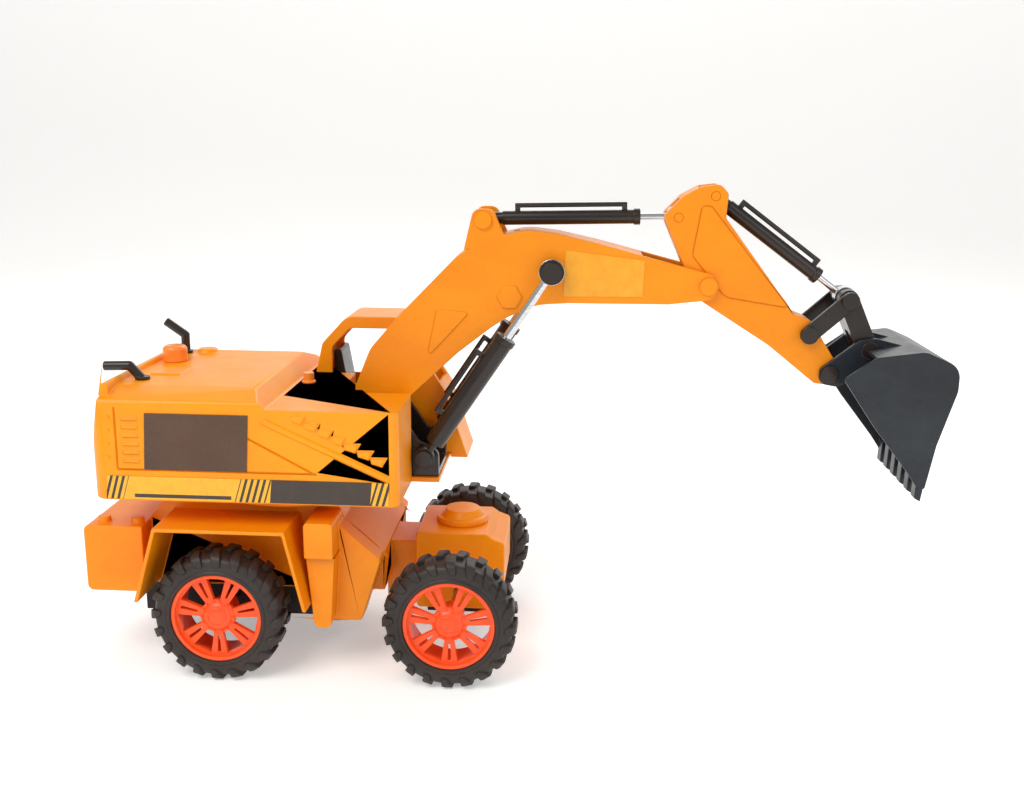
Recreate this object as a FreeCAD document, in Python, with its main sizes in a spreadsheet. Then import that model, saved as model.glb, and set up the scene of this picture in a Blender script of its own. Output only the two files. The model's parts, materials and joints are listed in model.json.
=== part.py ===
import FreeCAD, Part
import os
import re
import Sketcher

# A remote-controlled toy excavator on four wheels.
#
# Frame: +X points from the rear bumper to the bucket, +Y to the cab's side, +Z up.
# The origin lies on the ground under the middle of the whole toy.  Rules below are written
# from the middle of the wheelbase, and place() moves each sub-part by centre_shift.

SIZES = (
    ("centre_shift", -78.5, "middle of the wheelbase, seen from the origin"),
    ("wall", 2.0, "usual wall of a moulded shell"),
    ("run_gap", 0.06, "radial running fit of a pin in its eye"),
    ("seat_gap", 0.3, "gap between pieces that only lie near each other"),
    # wheels
    ("wheel_radius", 31.0, "tyre radius over the lugs, which is the height of the axles"),
    ("wheel_width", 21.0, "tyre width"),
    ("wheel_base", 107.0, "distance between the axles"),
    ("track_half", 62.0, "middle of the toy to the tyre's outer face"),
    ("rim_radius", 21.0, "rim radius inside the tyre"),
    ("rim_wall", 1.7, "wall of the rim's barrel"),
    ("lug_height", 1.8, "height of a tread lug"),
    ("axle_radius", 2.0, "steel axle radius"),
    ("hub_radius", 5.5, "hub boss of a rim"),
    ("gear_radius", 7.4, "tip radius of the gear on the rear axle"),
    ("pinion_radius", 3.3, "tip radius of the motor's pinion"),
    # undercarriage
    ("hull_half", 33.0, "half the width of the hull between the wheels"),
    ("hull_rear", -93.0, "rear wall of the hull"),
    ("hull_front", 13.0, "front wall of the hull"),
    ("hull_low", 36.0, "lower edge of the yellow hull"),
    ("deck_top", 79.5, "level of the deck under the turntable"),
    ("fender_top", 74.0, "top of the rear wheel arch"),
    ("fender_wall", 1.8, "thickness of the wheel arch"),
    ("base_low", 21.0, "underside of the black base"),
    ("bumper_rear", -120.0, "rear face of the rear bumper"),
    ("bumper_half", 45.0, "half the width of the rear bumper"),
    ("bumper_top", 68.5, "top of the rear bumper"),
    ("leg_low", 24.5, "lower end of the side step"),
    ("leg_half", 56.0, "middle of the toy to the side step's outer face"),
    ("front_half", 21.0, "half the width of the front axle housing"),
    ("front_top", 61.0, "top of the front axle housing"),
    ("dome_radius", 12.8, "radius of the round cap on the front axle housing"),
    # turntable
    ("slew_x", -28.0, "slewing axis, seen from the middle of the wheelbase"),
    ("slew_radius", 44.0, "outside of the turntable's skirt"),
    ("slew_pin_radius", 8.0, "hollow slewing spigot"),
    ("ring_radius", 26.0, "tip radius of the fixed slewing gear"),
    ("slew_pinion_radius", 4.0, "tip radius of the slewing pinion"),
    # superstructure
    ("floor_low", 85.5, "underside of the superstructure's floor"),
    ("floor_wall", 2.5, "thickness of the floor"),
    ("casing_rear", -109.0, "rear wall of the casing"),
    ("casing_front", 31.0, "front wall of the casing's right-hand block"),
    ("casing_half", 57.0, "half the width of the casing"),
    ("casing_top", 133.5, "roof of the casing"),
    ("roof_crown", 2.5, "height of the middle of the roof above its side edges"),
    ("block_top", 129.0, "lower deck of the casing, in front of the hood"),
    ("corner_radius", 8.0, "rounding of the casing's rear corners"),
    ("bay_right", 18.0, "middle of the toy to the casing's block beside the boom"),
    ("bay_left", 25.5, "middle of the toy to the cab beside the boom"),
    ("bay_rear", -27.0, "wall of the casing behind the cab"),
    ("bay_back", -4.0, "rear wall of the bay that the boom stands in"),
    ("cab_rear", -26.5, "rear post of the cab"),
    ("cab_top", 158.0, "roof of the cab"),
    ("cab_front", 53.5, "foot of the cab's front panel"),
    ("cab_wall", 2.4, "wall of the cab"),
    # boom
    ("boom_foot_x", 12.0, "boom foot pivot"),
    ("boom_foot_z", 119.0, "boom foot pivot"),
    ("boom_half", 13.0, "half the width of the boom"),
    ("boom_reach", 155.8, "boom foot pivot to boom tip pivot, along X"),
    ("boom_rise", 62.2, "boom foot pivot to boom tip pivot, along Z"),
    ("pin_radius", 2.0, "shaft of a pivot pin"),
    ("pin_head", 4.0, "head of a pivot pin"),
    # boom cylinders
    ("jack_foot_x", 37.2, "lower pivot of the boom cylinders"),
    ("jack_foot_z", 98.3, "lower pivot of the boom cylinders"),
    ("jack_side", 19.2, "middle of the toy to a boom cylinder's axis"),
    ("jack_radius", 4.7, "barrel radius of a boom cylinder"),
    ("jack_length", 70.0, "barrel length of a boom cylinder"),
    ("jack_rod_radius", 2.0, "rod radius of a boom cylinder"),
    ("ball_dx", 84.3, "boom foot pivot to ball stud, along X"),
    ("ball_dz", 68.4, "boom foot pivot to ball stud, along Z"),
    ("ball_radius", 2.6, "ball stud shaft"),
    ("open_gap", 1.35, "radial play at a pivot that closes a linkage"),
    # arm and its cylinder
    ("arm_half", 10.0, "half the width of the arm"),
    ("arm_dx", 57.4, "boom tip pivot to bucket pivot, along X"),
    ("arm_dz", 39.7, "boom tip pivot down to bucket pivot"),
    ("arm_foot_dx", 52.3, "boom foot pivot to arm cylinder foot, along X"),
    ("arm_foot_dz", 90.9, "boom foot pivot to arm cylinder foot, along Z"),
    ("arm_head_dx", -14.6, "boom tip pivot to arm cylinder head, along X"),
    ("arm_head_dz", 30.8, "boom tip pivot to arm cylinder head, along Z"),
    ("ram_radius", 3.3, "barrel radius of the arm and bucket cylinders"),
    ("ram_rod_radius", 1.5, "rod radius of the arm and bucket cylinders"),
    ("arm_ram_length", 72.0, "barrel length of the arm cylinder"),
    # bucket and its linkage
    ("bucket_half", 33.0, "half the width of the bucket"),
    ("bucket_wall", 1.8, "wall of the bucket"),
    ("ear_half", 12.6, "outer face of the linkage plates"),
    ("lever_dx", 47.0, "boom tip pivot to rocker pivot, along X"),
    ("lever_dz", 21.7, "boom tip pivot down to rocker pivot"),
    ("lever_tip_dx", 17.5, "rocker pivot to its upper pin, along X"),
    ("lever_tip_dz", 16.1, "rocker pivot to its upper pin, along Z"),
    ("link_dx", 10.1, "upper link pin to bucket link pin, along X"),
    ("link_dz", 22.5, "upper link pin down to bucket link pin"),
    ("bucket_foot_dx", 1.7, "boom tip pivot to bucket cylinder foot, along X"),
    ("bucket_foot_dz", 40.6, "boom tip pivot to bucket cylinder foot, along Z"),
    ("bucket_ram_length", 62.0, "barrel length of the bucket cylinder"),
)

doc = FreeCAD.newDocument("toy_excavator")
sheet = doc.addObject("Spreadsheet::Sheet", "Sizes")
for row, (alias, value, note) in enumerate(SIZES, start=1):
    sheet.set(f"A{row}", note)
    sheet.set(f"B{row}", str(value))
    sheet.setAlias(f"B{row}", alias)
doc.recompute()
NAMES = {alias for alias, value, note in SIZES}
WORD = re.compile(r"[a-z][a-z0-9_]*")

# ---------------------------------------------------------------- rules shared by sub-parts
AXLE_Z = "wheel_radius"
REAR_X = "-wheel_base / 2"
FRONT_X = "wheel_base / 2"
TYRE_IN = "track_half - wheel_width"
FLOOR_TOP = "floor_low + floor_wall"
TIP_X = "boom_foot_x + boom_reach"
TIP_Z = "boom_foot_z + boom_rise"
BALL_X = "boom_foot_x + ball_dx"
BALL_Z = "boom_foot_z + ball_dz"
ARM_FOOT_X = "boom_foot_x + arm_foot_dx"
ARM_FOOT_Z = "boom_foot_z + arm_foot_dz"
ARM_HEAD_X = f"{TIP_X} + arm_head_dx"
ARM_HEAD_Z = f"{TIP_Z} + arm_head_dz"
BUCKET_X = f"{TIP_X} + arm_dx"
BUCKET_Z = f"{TIP_Z} - arm_dz"
LEVER_X = f"{TIP_X} + lever_dx"
LEVER_Z = f"{TIP_Z} - lever_dz"
LEVER_TIP_X = f"{LEVER_X} + lever_tip_dx"
LEVER_TIP_Z = f"{LEVER_Z} + lever_tip_dz"
LINK_X = f"{LEVER_TIP_X} + link_dx"
LINK_Z = f"{LEVER_TIP_Z} - link_dz"
BUCKET_FOOT_X = f"{TIP_X} + bucket_foot_dx"
BUCKET_FOOT_Z = f"{TIP_Z} + bucket_foot_dz"
EYE = "pin_radius + run_gap"
OPEN_EYE = "pin_radius + open_gap"


# ---------------------------------------------------------------- helpers
def tied(rule):
    """A rule with each size's name pointed at its cell."""
    return WORD.sub(lambda word: "Sizes." + word.group() if word.group() in NAMES else word.group(),
                    str(rule))


def size(rule):
    """What a rule comes to with the sheet's present numbers."""
    found = sheet.evalExpression(tied(rule))
    return float(getattr(found, "Value", found))


def bind(piece, path, rule):
    piece.setExpression(path, tied(rule))


def shift(rule, by):
    return f"({rule}) + ({by})"


def mirrored(low, high):
    """The same span on the other side of the middle plane."""
    return f"-({high})", f"-({low})"


def sides():
    """Right (-Y) and left (+Y) side, each with a function that gives its span along Y."""
    return (("right", lambda low, high: mirrored(low, high)), ("left", lambda low, high: (low, high)))


START = {}


def box(x, y, z):
    """A box between pairs of rules."""
    piece = doc.addObject("Part::Box", "box")
    START[piece.Name] = {"x": x[0], "y": y[0], "z": z[0]}
    for axis, length, (low, high) in zip("xyz", ("Length", "Width", "Height"), (x, y, z)):
        bind(piece, length, f"({high}) - ({low})")
        bind(piece, f".Placement.Base.{axis}", low)
    return piece


TURNS = {"x": (FreeCAD.Vector(0, 1, 0), 90), "y": (FreeCAD.Vector(1, 0, 0), -90),
         "z": (FreeCAD.Vector(0, 0, 1), 0)}


def lay_along(piece, along, start, centre):
    """Turn a piece made along Z to lie along an axis, from start, with its middle on centre."""
    axis, angle = TURNS[along]
    piece.Placement = FreeCAD.Placement(FreeCAD.Vector(0, 0, 0), FreeCAD.Rotation(axis, angle))
    others = [letter for letter in "xyz" if letter != along]
    START[piece.Name] = dict(zip([along] + others, [start] + list(centre)))
    for letter, rule in START[piece.Name].items():
        bind(piece, f".Placement.Base.{letter}", rule)


def rod(along, radius, span, centre):
    """A cylinder along an axis; centre gives the other two coordinates in order."""
    low, high = span
    piece = doc.addObject("Part::Cylinder", "rod")
    bind(piece, "Radius", radius)
    bind(piece, "Height", f"({high}) - ({low})")
    lay_along(piece, along, low, centre)
    return piece


def cone(along, radii, span, centre):
    low, high = span
    piece = doc.addObject("Part::Cone", "cone")
    bind(piece, "Radius1", radii[0])
    bind(piece, "Radius2", radii[1])
    bind(piece, "Height", f"({high}) - ({low})")
    lay_along(piece, along, low, centre)
    return piece


def fuse(*pieces):
    piece = doc.addObject("Part::MultiFuse", "joined")
    piece.Shapes = list(pieces)
    return piece


def cut(base, *tools):
    piece = doc.addObject("Part::Cut", "cut")
    piece.Base = base
    piece.Tool = tools[0] if len(tools) == 1 else fuse(*tools)
    return piece


def common(base, tool):
    piece = doc.addObject("Part::Common", "shared")
    piece.Base = base
    piece.Tool = tool
    return piece


PLANES = {"xy": ("XY_Plane", 1), "xz": ("XZ_Plane", -1), "yz": ("YZ_Plane", 1)}


def sketch_on(body, plane, height):
    """A sketch on one of a body's own planes, lifted along its normal."""
    role, way = PLANES[plane]
    face = [item for item in body.Origin.OriginFeatures if item.Role == role][0]
    sketch = body.newObject("Sketcher::SketchObject", "outline")
    sketch.AttachmentSupport = (face, [""])
    sketch.MapMode = "FlatFace"
    bind(sketch, ".AttachmentOffset.Base.z", height)
    return sketch


def pin_down(sketch, item, end, point):
    """Tie one point of a sketch to two rules."""
    for kind, rule in zip(("DistanceX", "DistanceY"), point):
        index = sketch.addConstraint(Sketcher.Constraint(kind, -1, 1, item, end, size(rule)))
        bind(sketch, f"Constraints[{index}]", rule)


def draw_outline(sketch, points):
    corners = [FreeCAD.Vector(size(point[0]), size(point[1]), 0) for point in points]
    count = len(corners)
    for index in range(count):
        sketch.addGeometry(Part.LineSegment(corners[index], corners[(index + 1) % count]), False)
    for index in range(count):
        sketch.addConstraint(Sketcher.Constraint("Coincident", index, 2, (index + 1) % count, 1))
    for index, point in enumerate(points):
        pin_down(sketch, index, 1, point[:2])


def draw_hole(sketch, across, up, radius):
    centre = FreeCAD.Vector(size(across), size(up), 0)
    item = sketch.addGeometry(Part.Circle(centre, FreeCAD.Vector(0, 0, 1), size(radius)), False)
    pin_down(sketch, item, 3, (across, up))
    index = sketch.addConstraint(Sketcher.Constraint("Radius", item, size(radius)))
    bind(sketch, f"Constraints[{index}]", radius)


def round_corners(body, plane, points):
    """Round each upright edge whose outline point has a third number, its radius."""
    skip = {"xy": 2, "xz": 1, "yz": 0}[plane]
    keep = [axis for axis in range(3) if axis != skip]
    wanted = {}
    for point in points:
        if len(point) > 2:
            wanted.setdefault(point[2], []).append((size(point[0]), size(point[1])))
    for radius, spots in wanted.items():
        doc.recompute()
        names = []
        for number, edge in enumerate(body.Shape.Edges, start=1):
            ends = [vertex.Point for vertex in edge.Vertexes]
            if len(ends) != 2 or abs(ends[0][keep[0]] - ends[1][keep[0]]) > 1e-6:
                continue
            if abs(ends[0][keep[1]] - ends[1][keep[1]]) > 1e-6:
                continue
            here = [abs(ends[0][keep[0]] - a) + abs(ends[0][keep[1]] - b) < 1e-4 for a, b in spots]
            if any(here):
                names.append(f"Edge{number}")
        base = body.Tip
        fillet = body.newObject("PartDesign::Fillet", "rounding")
        fillet.Base = (base, names)
        bind(fillet, "Radius", radius)
        body.Tip = fillet


def plate(plane, points, span, holes=()):
    """A padded outline.  The points are (across, up[, rounding radius]) on the plane."""
    low, high = span
    body = doc.addObject("PartDesign::Body", "plate")
    way = PLANES[plane][1]
    sketch = sketch_on(body, plane, low if way > 0 else f"-({high})")
    draw_outline(sketch, points)
    for hole in holes:
        draw_hole(sketch, *hole)
    pad = body.newObject("PartDesign::Pad", "thickness")
    pad.Profile = sketch
    bind(pad, "Length", f"({high}) - ({low})")
    sketch.Visibility = False
    body.Tip = pad
    round_corners(body, plane, points)
    return body


def cavity(points, span, eyes=(), wall="wall"):
    """The room inside an upright outline, one wall smaller, with a post left around each eye."""
    low, high = span
    sketch = doc.addObject("Sketcher::SketchObject", "inside")
    sketch.Placement = FreeCAD.Placement(FreeCAD.Vector(0, 0, 0), FreeCAD.Rotation(FreeCAD.Vector(1, 0, 0),
                                                                                   90))
    bind(sketch, ".Placement.Base.y", low)
    draw_outline(sketch, points)
    inset = doc.addObject("Part::Offset2D", "inset")
    inset.Source = sketch
    inset.Join = 2
    bind(inset, "Value", f"-({wall})")
    room = doc.addObject("Part::Extrusion", "room")
    room.Base = inset
    room.DirMode = "Custom"
    room.Dir = FreeCAD.Vector(0, 1, 0)
    bind(room, "LengthFwd", f"({high}) - ({low})")
    room.Solid = True
    if not eyes:
        return room
    posts = [rod("y", f"({radius}) + ({wall})", (low, high), (across, up)) for across, up, radius in eyes]
    return cut(room, *posts)


def turned(points):
    """A profile of (radius, place along Y) points turned about an axle along Y."""
    body = doc.addObject("PartDesign::Body", "turned")
    sketch = sketch_on(body, "yz", "0")
    draw_outline(sketch, [(along, radius) for radius, along in points])
    turn = body.newObject("PartDesign::Revolution", "turn")
    turn.Profile = sketch
    turn.ReferenceAxis = (sketch, ["H_Axis"])
    turn.Angle = 360
    sketch.Visibility = False
    body.Tip = turn
    return body


def ring_of(body, count, points, span):
    """Pocket one opening through a turned body and repeat it around the axle."""
    low, high = span
    sketch = sketch_on(body, "xz", f"-({high})")
    draw_outline(sketch, points)
    pocket = body.newObject("PartDesign::Pocket", "window")
    pocket.Profile = sketch
    bind(pocket, "Length", f"({high}) - ({low})")
    pocket.Reversed = True
    sketch.Visibility = False
    body.Tip = pocket
    doc.recompute()
    pattern = body.newObject("PartDesign::PolarPattern", "around")
    pattern.Originals = [pocket]
    axis = [item for item in body.Origin.OriginFeatures if item.Role == "Y_Axis"][0]
    pattern.Axis = (axis, [""])
    pattern.Angle = 360
    pattern.Occurrences = count
    body.Tip = pattern
    return body


def moved(piece, at):
    """Shift a finished piece that is still to be joined with others."""
    for letter, rule in zip("xyz", at):
        bind(piece, f".Placement.Base.{letter}", rule)
    return piece


NODES = []


def place(piece, label, at=("0", "0", "0"), slope=None, way=1):
    """Name a sub-part and put it in the toy's frame; slope lifts (way 1) or drops (way -1) +X."""
    piece.Label = label
    if slope is not None:
        turn = FreeCAD.Rotation(FreeCAD.Vector(0, -way, 0), size(slope))
        piece.Placement = FreeCAD.Placement(FreeCAD.Vector(0, 0, 0), turn)
        bind(piece, ".Placement.Rotation.Angle", slope)
    start = START.get(piece.Name, {"x": "0", "y": "0", "z": "0"})
    bind(piece, ".Placement.Base.x", f"centre_shift + ({at[0]}) + ({start['x']})")
    bind(piece, ".Placement.Base.y", f"({at[1]}) + ({start['y']})")
    bind(piece, ".Placement.Base.z", f"({at[2]}) + ({start['z']})")
    NODES.append(piece)
    return piece


def bar(start, end, radius, span, holes):
    """A round-ended bar between two points in X and Z, thick along Y, with an eye at each end."""
    (x1, z1), (x2, z2) = start, end
    reach = f"sqrt(pow(({x2}) - ({x1}); 2) + pow(({z2}) - ({z1}); 2))"
    side_x = f"({radius}) * (({z2}) - ({z1})) / {reach}"
    side_z = f"({radius}) * (({x2}) - ({x1})) / {reach}"
    web = plate("xz", [(f"({x1}) + {side_x}", f"({z1}) - {side_z}"),
                       (f"({x2}) + {side_x}", f"({z2}) - {side_z}"),
                       (f"({x2}) - {side_x}", f"({z2}) + {side_z}"),
                       (f"({x1}) - {side_x}", f"({z1}) + {side_z}")], span)
    solid = fuse(web, rod("y", radius, span, start), rod("y", radius, span, end))
    through = (shift(span[0], -1), shift(span[1], 1))
    eyes = [rod("y", hole, through, spot) for hole, spot in zip(holes, (start, end))]
    return cut(solid, *eyes)


def pivot_pin(spot, outer):
    """A steel pin across the middle plane with a flat head outside each outer face."""
    heads = [rod("y", "pin_head", span(outer, f"({outer}) + 1.5"), spot) for name, span in sides()]
    return fuse(rod("y", "pin_radius", (f"-({outer})", outer), spot), *heads)


def gear(plane, teeth, tip, depth, centre, span, bore):
    """A toothed wheel whose teeth are plain points between two circles."""
    across, up = centre
    points = []
    for step in range(2 * teeth):
        radius = f"({tip})" if step % 2 == 0 else f"(({tip}) - {depth})"
        angle = 180.0 * step / teeth
        points.append((f"({across}) + {radius} * cos({angle:.4f})", f"({up}) + {radius} * sin({angle:.4f})"))
    return plate(plane, points, span, [(across, up, bore)])


# ---------------------------------------------------------------- wheels and drive
def tyre(span, flip):
    """Hollow tyre: a tread band with chunky blocks on both shoulders."""
    lug_foot = "wheel_radius - lug_height"
    bore = "rim_radius + run_gap"
    profile = [(bore, "0.8"), ("wheel_radius - 6", "0"), ("wheel_radius - 2.2", "1.2"),
               ("wheel_radius", "3.6"), ("wheel_radius", "wheel_width - 3.6"),
               ("wheel_radius - 2.2", "wheel_width - 1.2"), ("wheel_radius - 6", "wheel_width"),
               (bore, "wheel_width - 0.8")]
    body = turned([(radius, flip(along)) for radius, along in profile])
    doc.recompute()
    groove = [("-1.9", lug_foot), ("1.9", lug_foot), ("2.3", "wheel_radius + 1"),
              ("-2.3", "wheel_radius + 1")]
    half_turn = 9.0
    other = [(f"{radius} * sin({half_turn + lean})", f"{radius} * cos({half_turn + lean})")
             for radius, lean in (("(wheel_radius - lug_height)", -3.7), ("(wheel_radius - lug_height)", 3.7),
                                  ("(wheel_radius + 1)", 4.1), ("(wheel_radius + 1)", -4.1))]
    ring_of(body, 20, groove, span("-1", "wheel_width * 0.42"))
    return ring_of(body, 20, other, span("wheel_width * 0.58", "wheel_width + 1"))


def rim(span, flip):
    """Rim with a barrel, a web with seven double spokes and a hub that grips the axle."""
    barrel_in = "rim_radius - rim_wall"
    web_in = "wheel_width - 6.5"
    web_out = "wheel_width - 3.9"
    bore_end = "wheel_width - 5"
    profile = [("0", bore_end), ("axle_radius + 0.02", bore_end), ("axle_radius + 0.02", "2"),
               ("hub_radius", "2"),
               ("hub_radius", web_in), (barrel_in, web_in), (barrel_in, "1.6"), ("rim_radius", "1.6"),
               ("rim_radius", "wheel_width - 1.4"), (barrel_in, "wheel_width - 1.4"), (barrel_in, web_out),
               ("hub_radius + 1.4", web_out), ("hub_radius", "wheel_width - 2.6"), ("0", "wheel_width - 2.6")]
    body = turned([(radius, flip(along)) for radius, along in profile])
    doc.recompute()
    through = span("wheel_width - 8", "wheel_width")
    window = [("-1.5", "hub_radius + 2.6"), ("1.5", "hub_radius + 2.6"),
              ("rim_radius * 0.21", f"{barrel_in} - 1.2"), ("-rim_radius * 0.21", f"{barrel_in} - 1.2")]
    ring_of(body, 7, window, through)
    lean = 180.0 / 7
    near, far = "(hub_radius + 4.2)", f"({barrel_in} - 1.6)"
    slot = [(f"{radius} * sin({lean}) + {side} * cos({lean})",
             f"{radius} * cos({lean}) - {side} * sin({lean})")
            for radius, side in ((near, -0.45), (near, 0.45), (far, 0.75), (far, -0.75))]
    return ring_of(body, 7, slot, through)


def same(rule):
    return rule


def opposite(rule):
    return f"-({rule})"


def wheel_pair(end, at_x):
    """Both rims, both tyres and the axle of one end of the toy."""
    for label, make in (("rims", rim), ("tyres", tyre)):
        pair = []
        for name, span in sides():
            flip = opposite if name == "right" else same
            pair.append(moved(make(span, flip), ("0", flip(TYRE_IN), "0")))
        place(fuse(*pair), f"{end}_{label}", at=(at_x, "0", AXLE_Z))
    place(rod("y", "axle_radius", opposite_span("track_half - 5.2"), (at_x, AXLE_Z)), f"{end}_axle")


def opposite_span(reach):
    return f"-({reach})", reach


wheel_pair("rear", REAR_X)
wheel_pair("front", FRONT_X)

GEAR_SPAN = ("0", "4")
PINION_Z = "wheel_radius + gear_radius + pinion_radius + 0.3"
SHAFT = "1"
MOTOR_FACE = "-7.3"
place(gear("xz", 18, "gear_radius", 1.2, (REAR_X, AXLE_Z), GEAR_SPAN, "axle_radius + 0.02"), "axle_gear")
pinion = gear("xz", 8, "pinion_radius", 1.0, (REAR_X, PINION_Z), GEAR_SPAN, "0.7")
shaft_bar = rod("y", SHAFT, (f"{MOTOR_FACE} + 0.3", "0"), (REAR_X, PINION_Z))
place(fuse(pinion, shaft_bar), "motor_pinion")
place(rod("y", "8", (f"{MOTOR_FACE} - 20.5", MOTOR_FACE), (REAR_X, PINION_Z)), "drive_motor")
BASE_FLOOR = "base_low + wall"
frame_holes = [(REAR_X, AXLE_Z, "axle_radius + 0.4"), (REAR_X, PINION_Z, "1.4")]
frame_outline = [(f"{REAR_X} - 8.3", BASE_FLOOR), (f"{REAR_X} + 10", BASE_FLOOR),
                 (f"{REAR_X} + 10", f"{PINION_Z} + 10", "3"), (f"{REAR_X} - 8.3", f"{PINION_Z} + 10", "3")]
place(plate("xz", frame_outline, ("-6.9", "-4.6"), frame_holes), "gearbox_frame")


# ---------------------------------------------------------------- undercarriage
def hull_outline(inset, low):
    """Side view of the hull; the inset gives the cavity."""
    return [(f"hull_rear + {inset}", low), ("-13", low),
            (f"hull_front + 6.8 - {inset}", low if inset != "0" else "hull_low"),
            (f"hull_front + 6.8 - {inset}", "54.8"), (f"0.4 - {inset} * 0.4", f"71 - {inset}"),
            (f"-2 - {inset} * 0.4", f"deck_top - {inset}"), (f"hull_rear + 9 + {inset} * 0.4",
                                                             f"deck_top - {inset}"),
            (f"hull_rear + {inset}", f"bumper_top - {inset} * 0.4")]


def fender(span):
    """Arch over a rear wheel."""
    rear, front = f"{REAR_X} - wheel_radius", f"{REAR_X} + wheel_radius"
    outline = [(f"{rear} - 6.5", "hull_low + 2"), (f"{rear} + 4.1", "fender_top"),
               (f"{front} + 2.4", "fender_top"), (f"{front} + 11.3", "hull_low"),
               (f"{front} + 9.5", "hull_low"), (f"{front} + 1.1", "fender_top - fender_wall"),
               (f"{rear} + 5.4", "fender_top - fender_wall"), (f"{rear} - 4.6", "hull_low + 2")]
    return plate("xz", outline, span("hull_half - 1", "track_half"))


def side_step(span):
    """Step box beside the hull, with a ledge and a rounded foot."""
    upper = plate("xz", [("-13", "59.5"), ("0.4", "59.5"), ("0.4", "76.5", "2"), ("-13", "76.5", "2")],
                  span("hull_half - 1", "leg_half"))
    lower = plate("xz", [("-9.8", "leg_low", "3"), ("-2", "leg_low", "3"), ("0.4", "60"), ("-13", "60")],
                  span("hull_half - 1", "leg_half - 3"))
    pod = plate("xz", [("-9", "leg_low"), ("10.5", "leg_low", "3"), ("19.8", "54.8", "2"),
                       ("0.4", "72", "2"), ("-9", "72")], span("hull_half - 1", "leg_half - 13"))
    return [upper, lower, pod]


def chassis_shell():
    hull = plate("xz", hull_outline("0", "hull_low"), ("-hull_half", "hull_half"))
    bumper = plate("xz", [("bumper_rear", "hull_low", "3"), ("hull_rear + 1", "hull_low"),
                          ("hull_rear + 1", "bumper_top"), ("bumper_rear", "bumper_top", "3")],
                   ("-bumper_half", "bumper_half"))
    neck = box(("hull_front", "33"), ("-14", "14"), ("leg_low", "54"))
    solids = [hull, bumper, neck]
    for name, span in sides():
        solids.append(fender(span))
        solids.extend(side_step(span))
        for stud_x in ("bumper_rear + 8", "bumper_rear + 24"):
            across = span("bumper_half - 6", "0")[0 if name == "left" else 1]
            solids.append(rod("z", "3", ("bumper_top - 1", "bumper_top + 3"), (stud_x, across)))
    cavity = plate("xz", hull_outline("wall", "leg_low - 2"), ("-hull_half + wall", "hull_half - wall"))
    bumper_hollow = box(("bumper_rear + wall", "hull_rear - wall"),
                        ("-bumper_half + wall", "bumper_half - wall"),
                        ("hull_low - 1", "bumper_top - wall"))
    spigot_hole = rod("z", "slew_pin_radius + run_gap", ("deck_top - 5", "deck_top + 1"), ("slew_x", "0"))
    wheel_room = rod("y", "wheel_radius + 1.5", ("-track_half - 1", f"-({TYRE_IN}) + 1"), (REAR_X, AXLE_Z))
    other_room = rod("y", "wheel_radius + 1.5", (f"{TYRE_IN} - 1", "track_half + 1"), (REAR_X, AXLE_Z))
    return cut(fuse(*solids), cavity, bumper_hollow, spigot_hole, wheel_room, other_room)


place(chassis_shell(), "chassis_shell")

BASE_REAR, BASE_FRONT, BASE_HALF = "hull_rear - 5", "-14", "hull_half - wall - seat_gap"
DOOR_X = ("hull_rear + wall", f"{REAR_X} - 9.5")
DOOR_Y = ("-24", "24")
KNOB_X, KNOB_Y, KNOB_TRAVEL = ("-30.5", "-26.5"), ("-2.6", "2.6"), 2.0
SCREWS = [(x, y) for x in ("hull_rear - 1.5", "-18") for y in (-27, 27)]


def grown(span, by):
    return f"({span[0]}) - {by}", f"({span[1]}) + {by}"


def chassis_base():
    """Black tray under the hull: battery bay, axle bearings and the switch's slot."""
    tray = box((BASE_REAR, BASE_FRONT), (f"-({BASE_HALF})", BASE_HALF), ("base_low", "hull_low"))
    room = box((shift(BASE_REAR, "wall"), shift(BASE_FRONT, "-wall")),
               (f"-({BASE_HALF}) + wall", f"({BASE_HALF}) - wall"), (BASE_FLOOR, "hull_low + 1"))
    posts = [rod("z", "3.2", (BASE_FLOOR, "hull_low - 1"), spot) for spot in SCREWS]
    door_hole = box(grown(DOOR_X, "seat_gap"), grown(DOOR_Y, "seat_gap"), ("base_low - 1", "hull_low"))
    switch_hole = box(grown(KNOB_X, f"({KNOB_TRAVEL} + seat_gap)"), grown(KNOB_Y, "seat_gap"),
                      ("base_low - 1", "hull_low"))
    axle_hole = rod("y", "axle_radius + run_gap", ("-hull_half", "hull_half"), (REAR_X, AXLE_Z))
    screw_holes = [rod("z", "1.25", ("base_low - 1", "hull_low"), spot) for spot in SCREWS]
    screw_seats = [rod("z", "2.9", ("base_low - 1", "base_low + 1.6"), spot) for spot in SCREWS]
    return cut(fuse(cut(tray, room), *posts), door_hole, switch_hole, axle_hole, *screw_holes,
               *screw_seats)


place(chassis_base(), "chassis_base")
place(box(DOOR_X, DOOR_Y, ("base_low", "base_low + wall - 0.2")), "battery_door")
CELL_R = 7.0
CELL_Z = f"{BASE_FLOOR} + 0.3 + {CELL_R}"
CELL_REAR = f"hull_rear + wall + 0.4 + {CELL_R}"
cells = [rod("y", CELL_R, ("-25", "25"), (f"{CELL_REAR} + {column * 14.4}", f"{CELL_Z} + {layer * 14.4}"))
         for column in (0, 1) for layer in (0, 1)]
cells_room = {"x": (CELL_REAR, f"{CELL_REAR} + 14.4"), "z": (CELL_Z, f"{CELL_Z} + 14.4")}
place(fuse(*cells), "battery_cells")
contacts = [box((f"({cells_room['x'][0]}) - 4", f"({cells_room['x'][1]}) + 4"), span("25.2", "25.6"),
                (f"({CELL_Z}) - 4", f"({CELL_Z}) + 18")) for name, span in sides()]
place(fuse(*contacts), "battery_contacts")
knob = fuse(box(grown(KNOB_X, 5), grown(KNOB_Y, 2.4), (f"{BASE_FLOOR} + 0.1", f"{BASE_FLOOR} + 1.2")),
            box(KNOB_X, KNOB_Y, ("base_low + 0.3", f"{BASE_FLOOR} + 0.2")))
place(knob, "power_switch")
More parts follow.
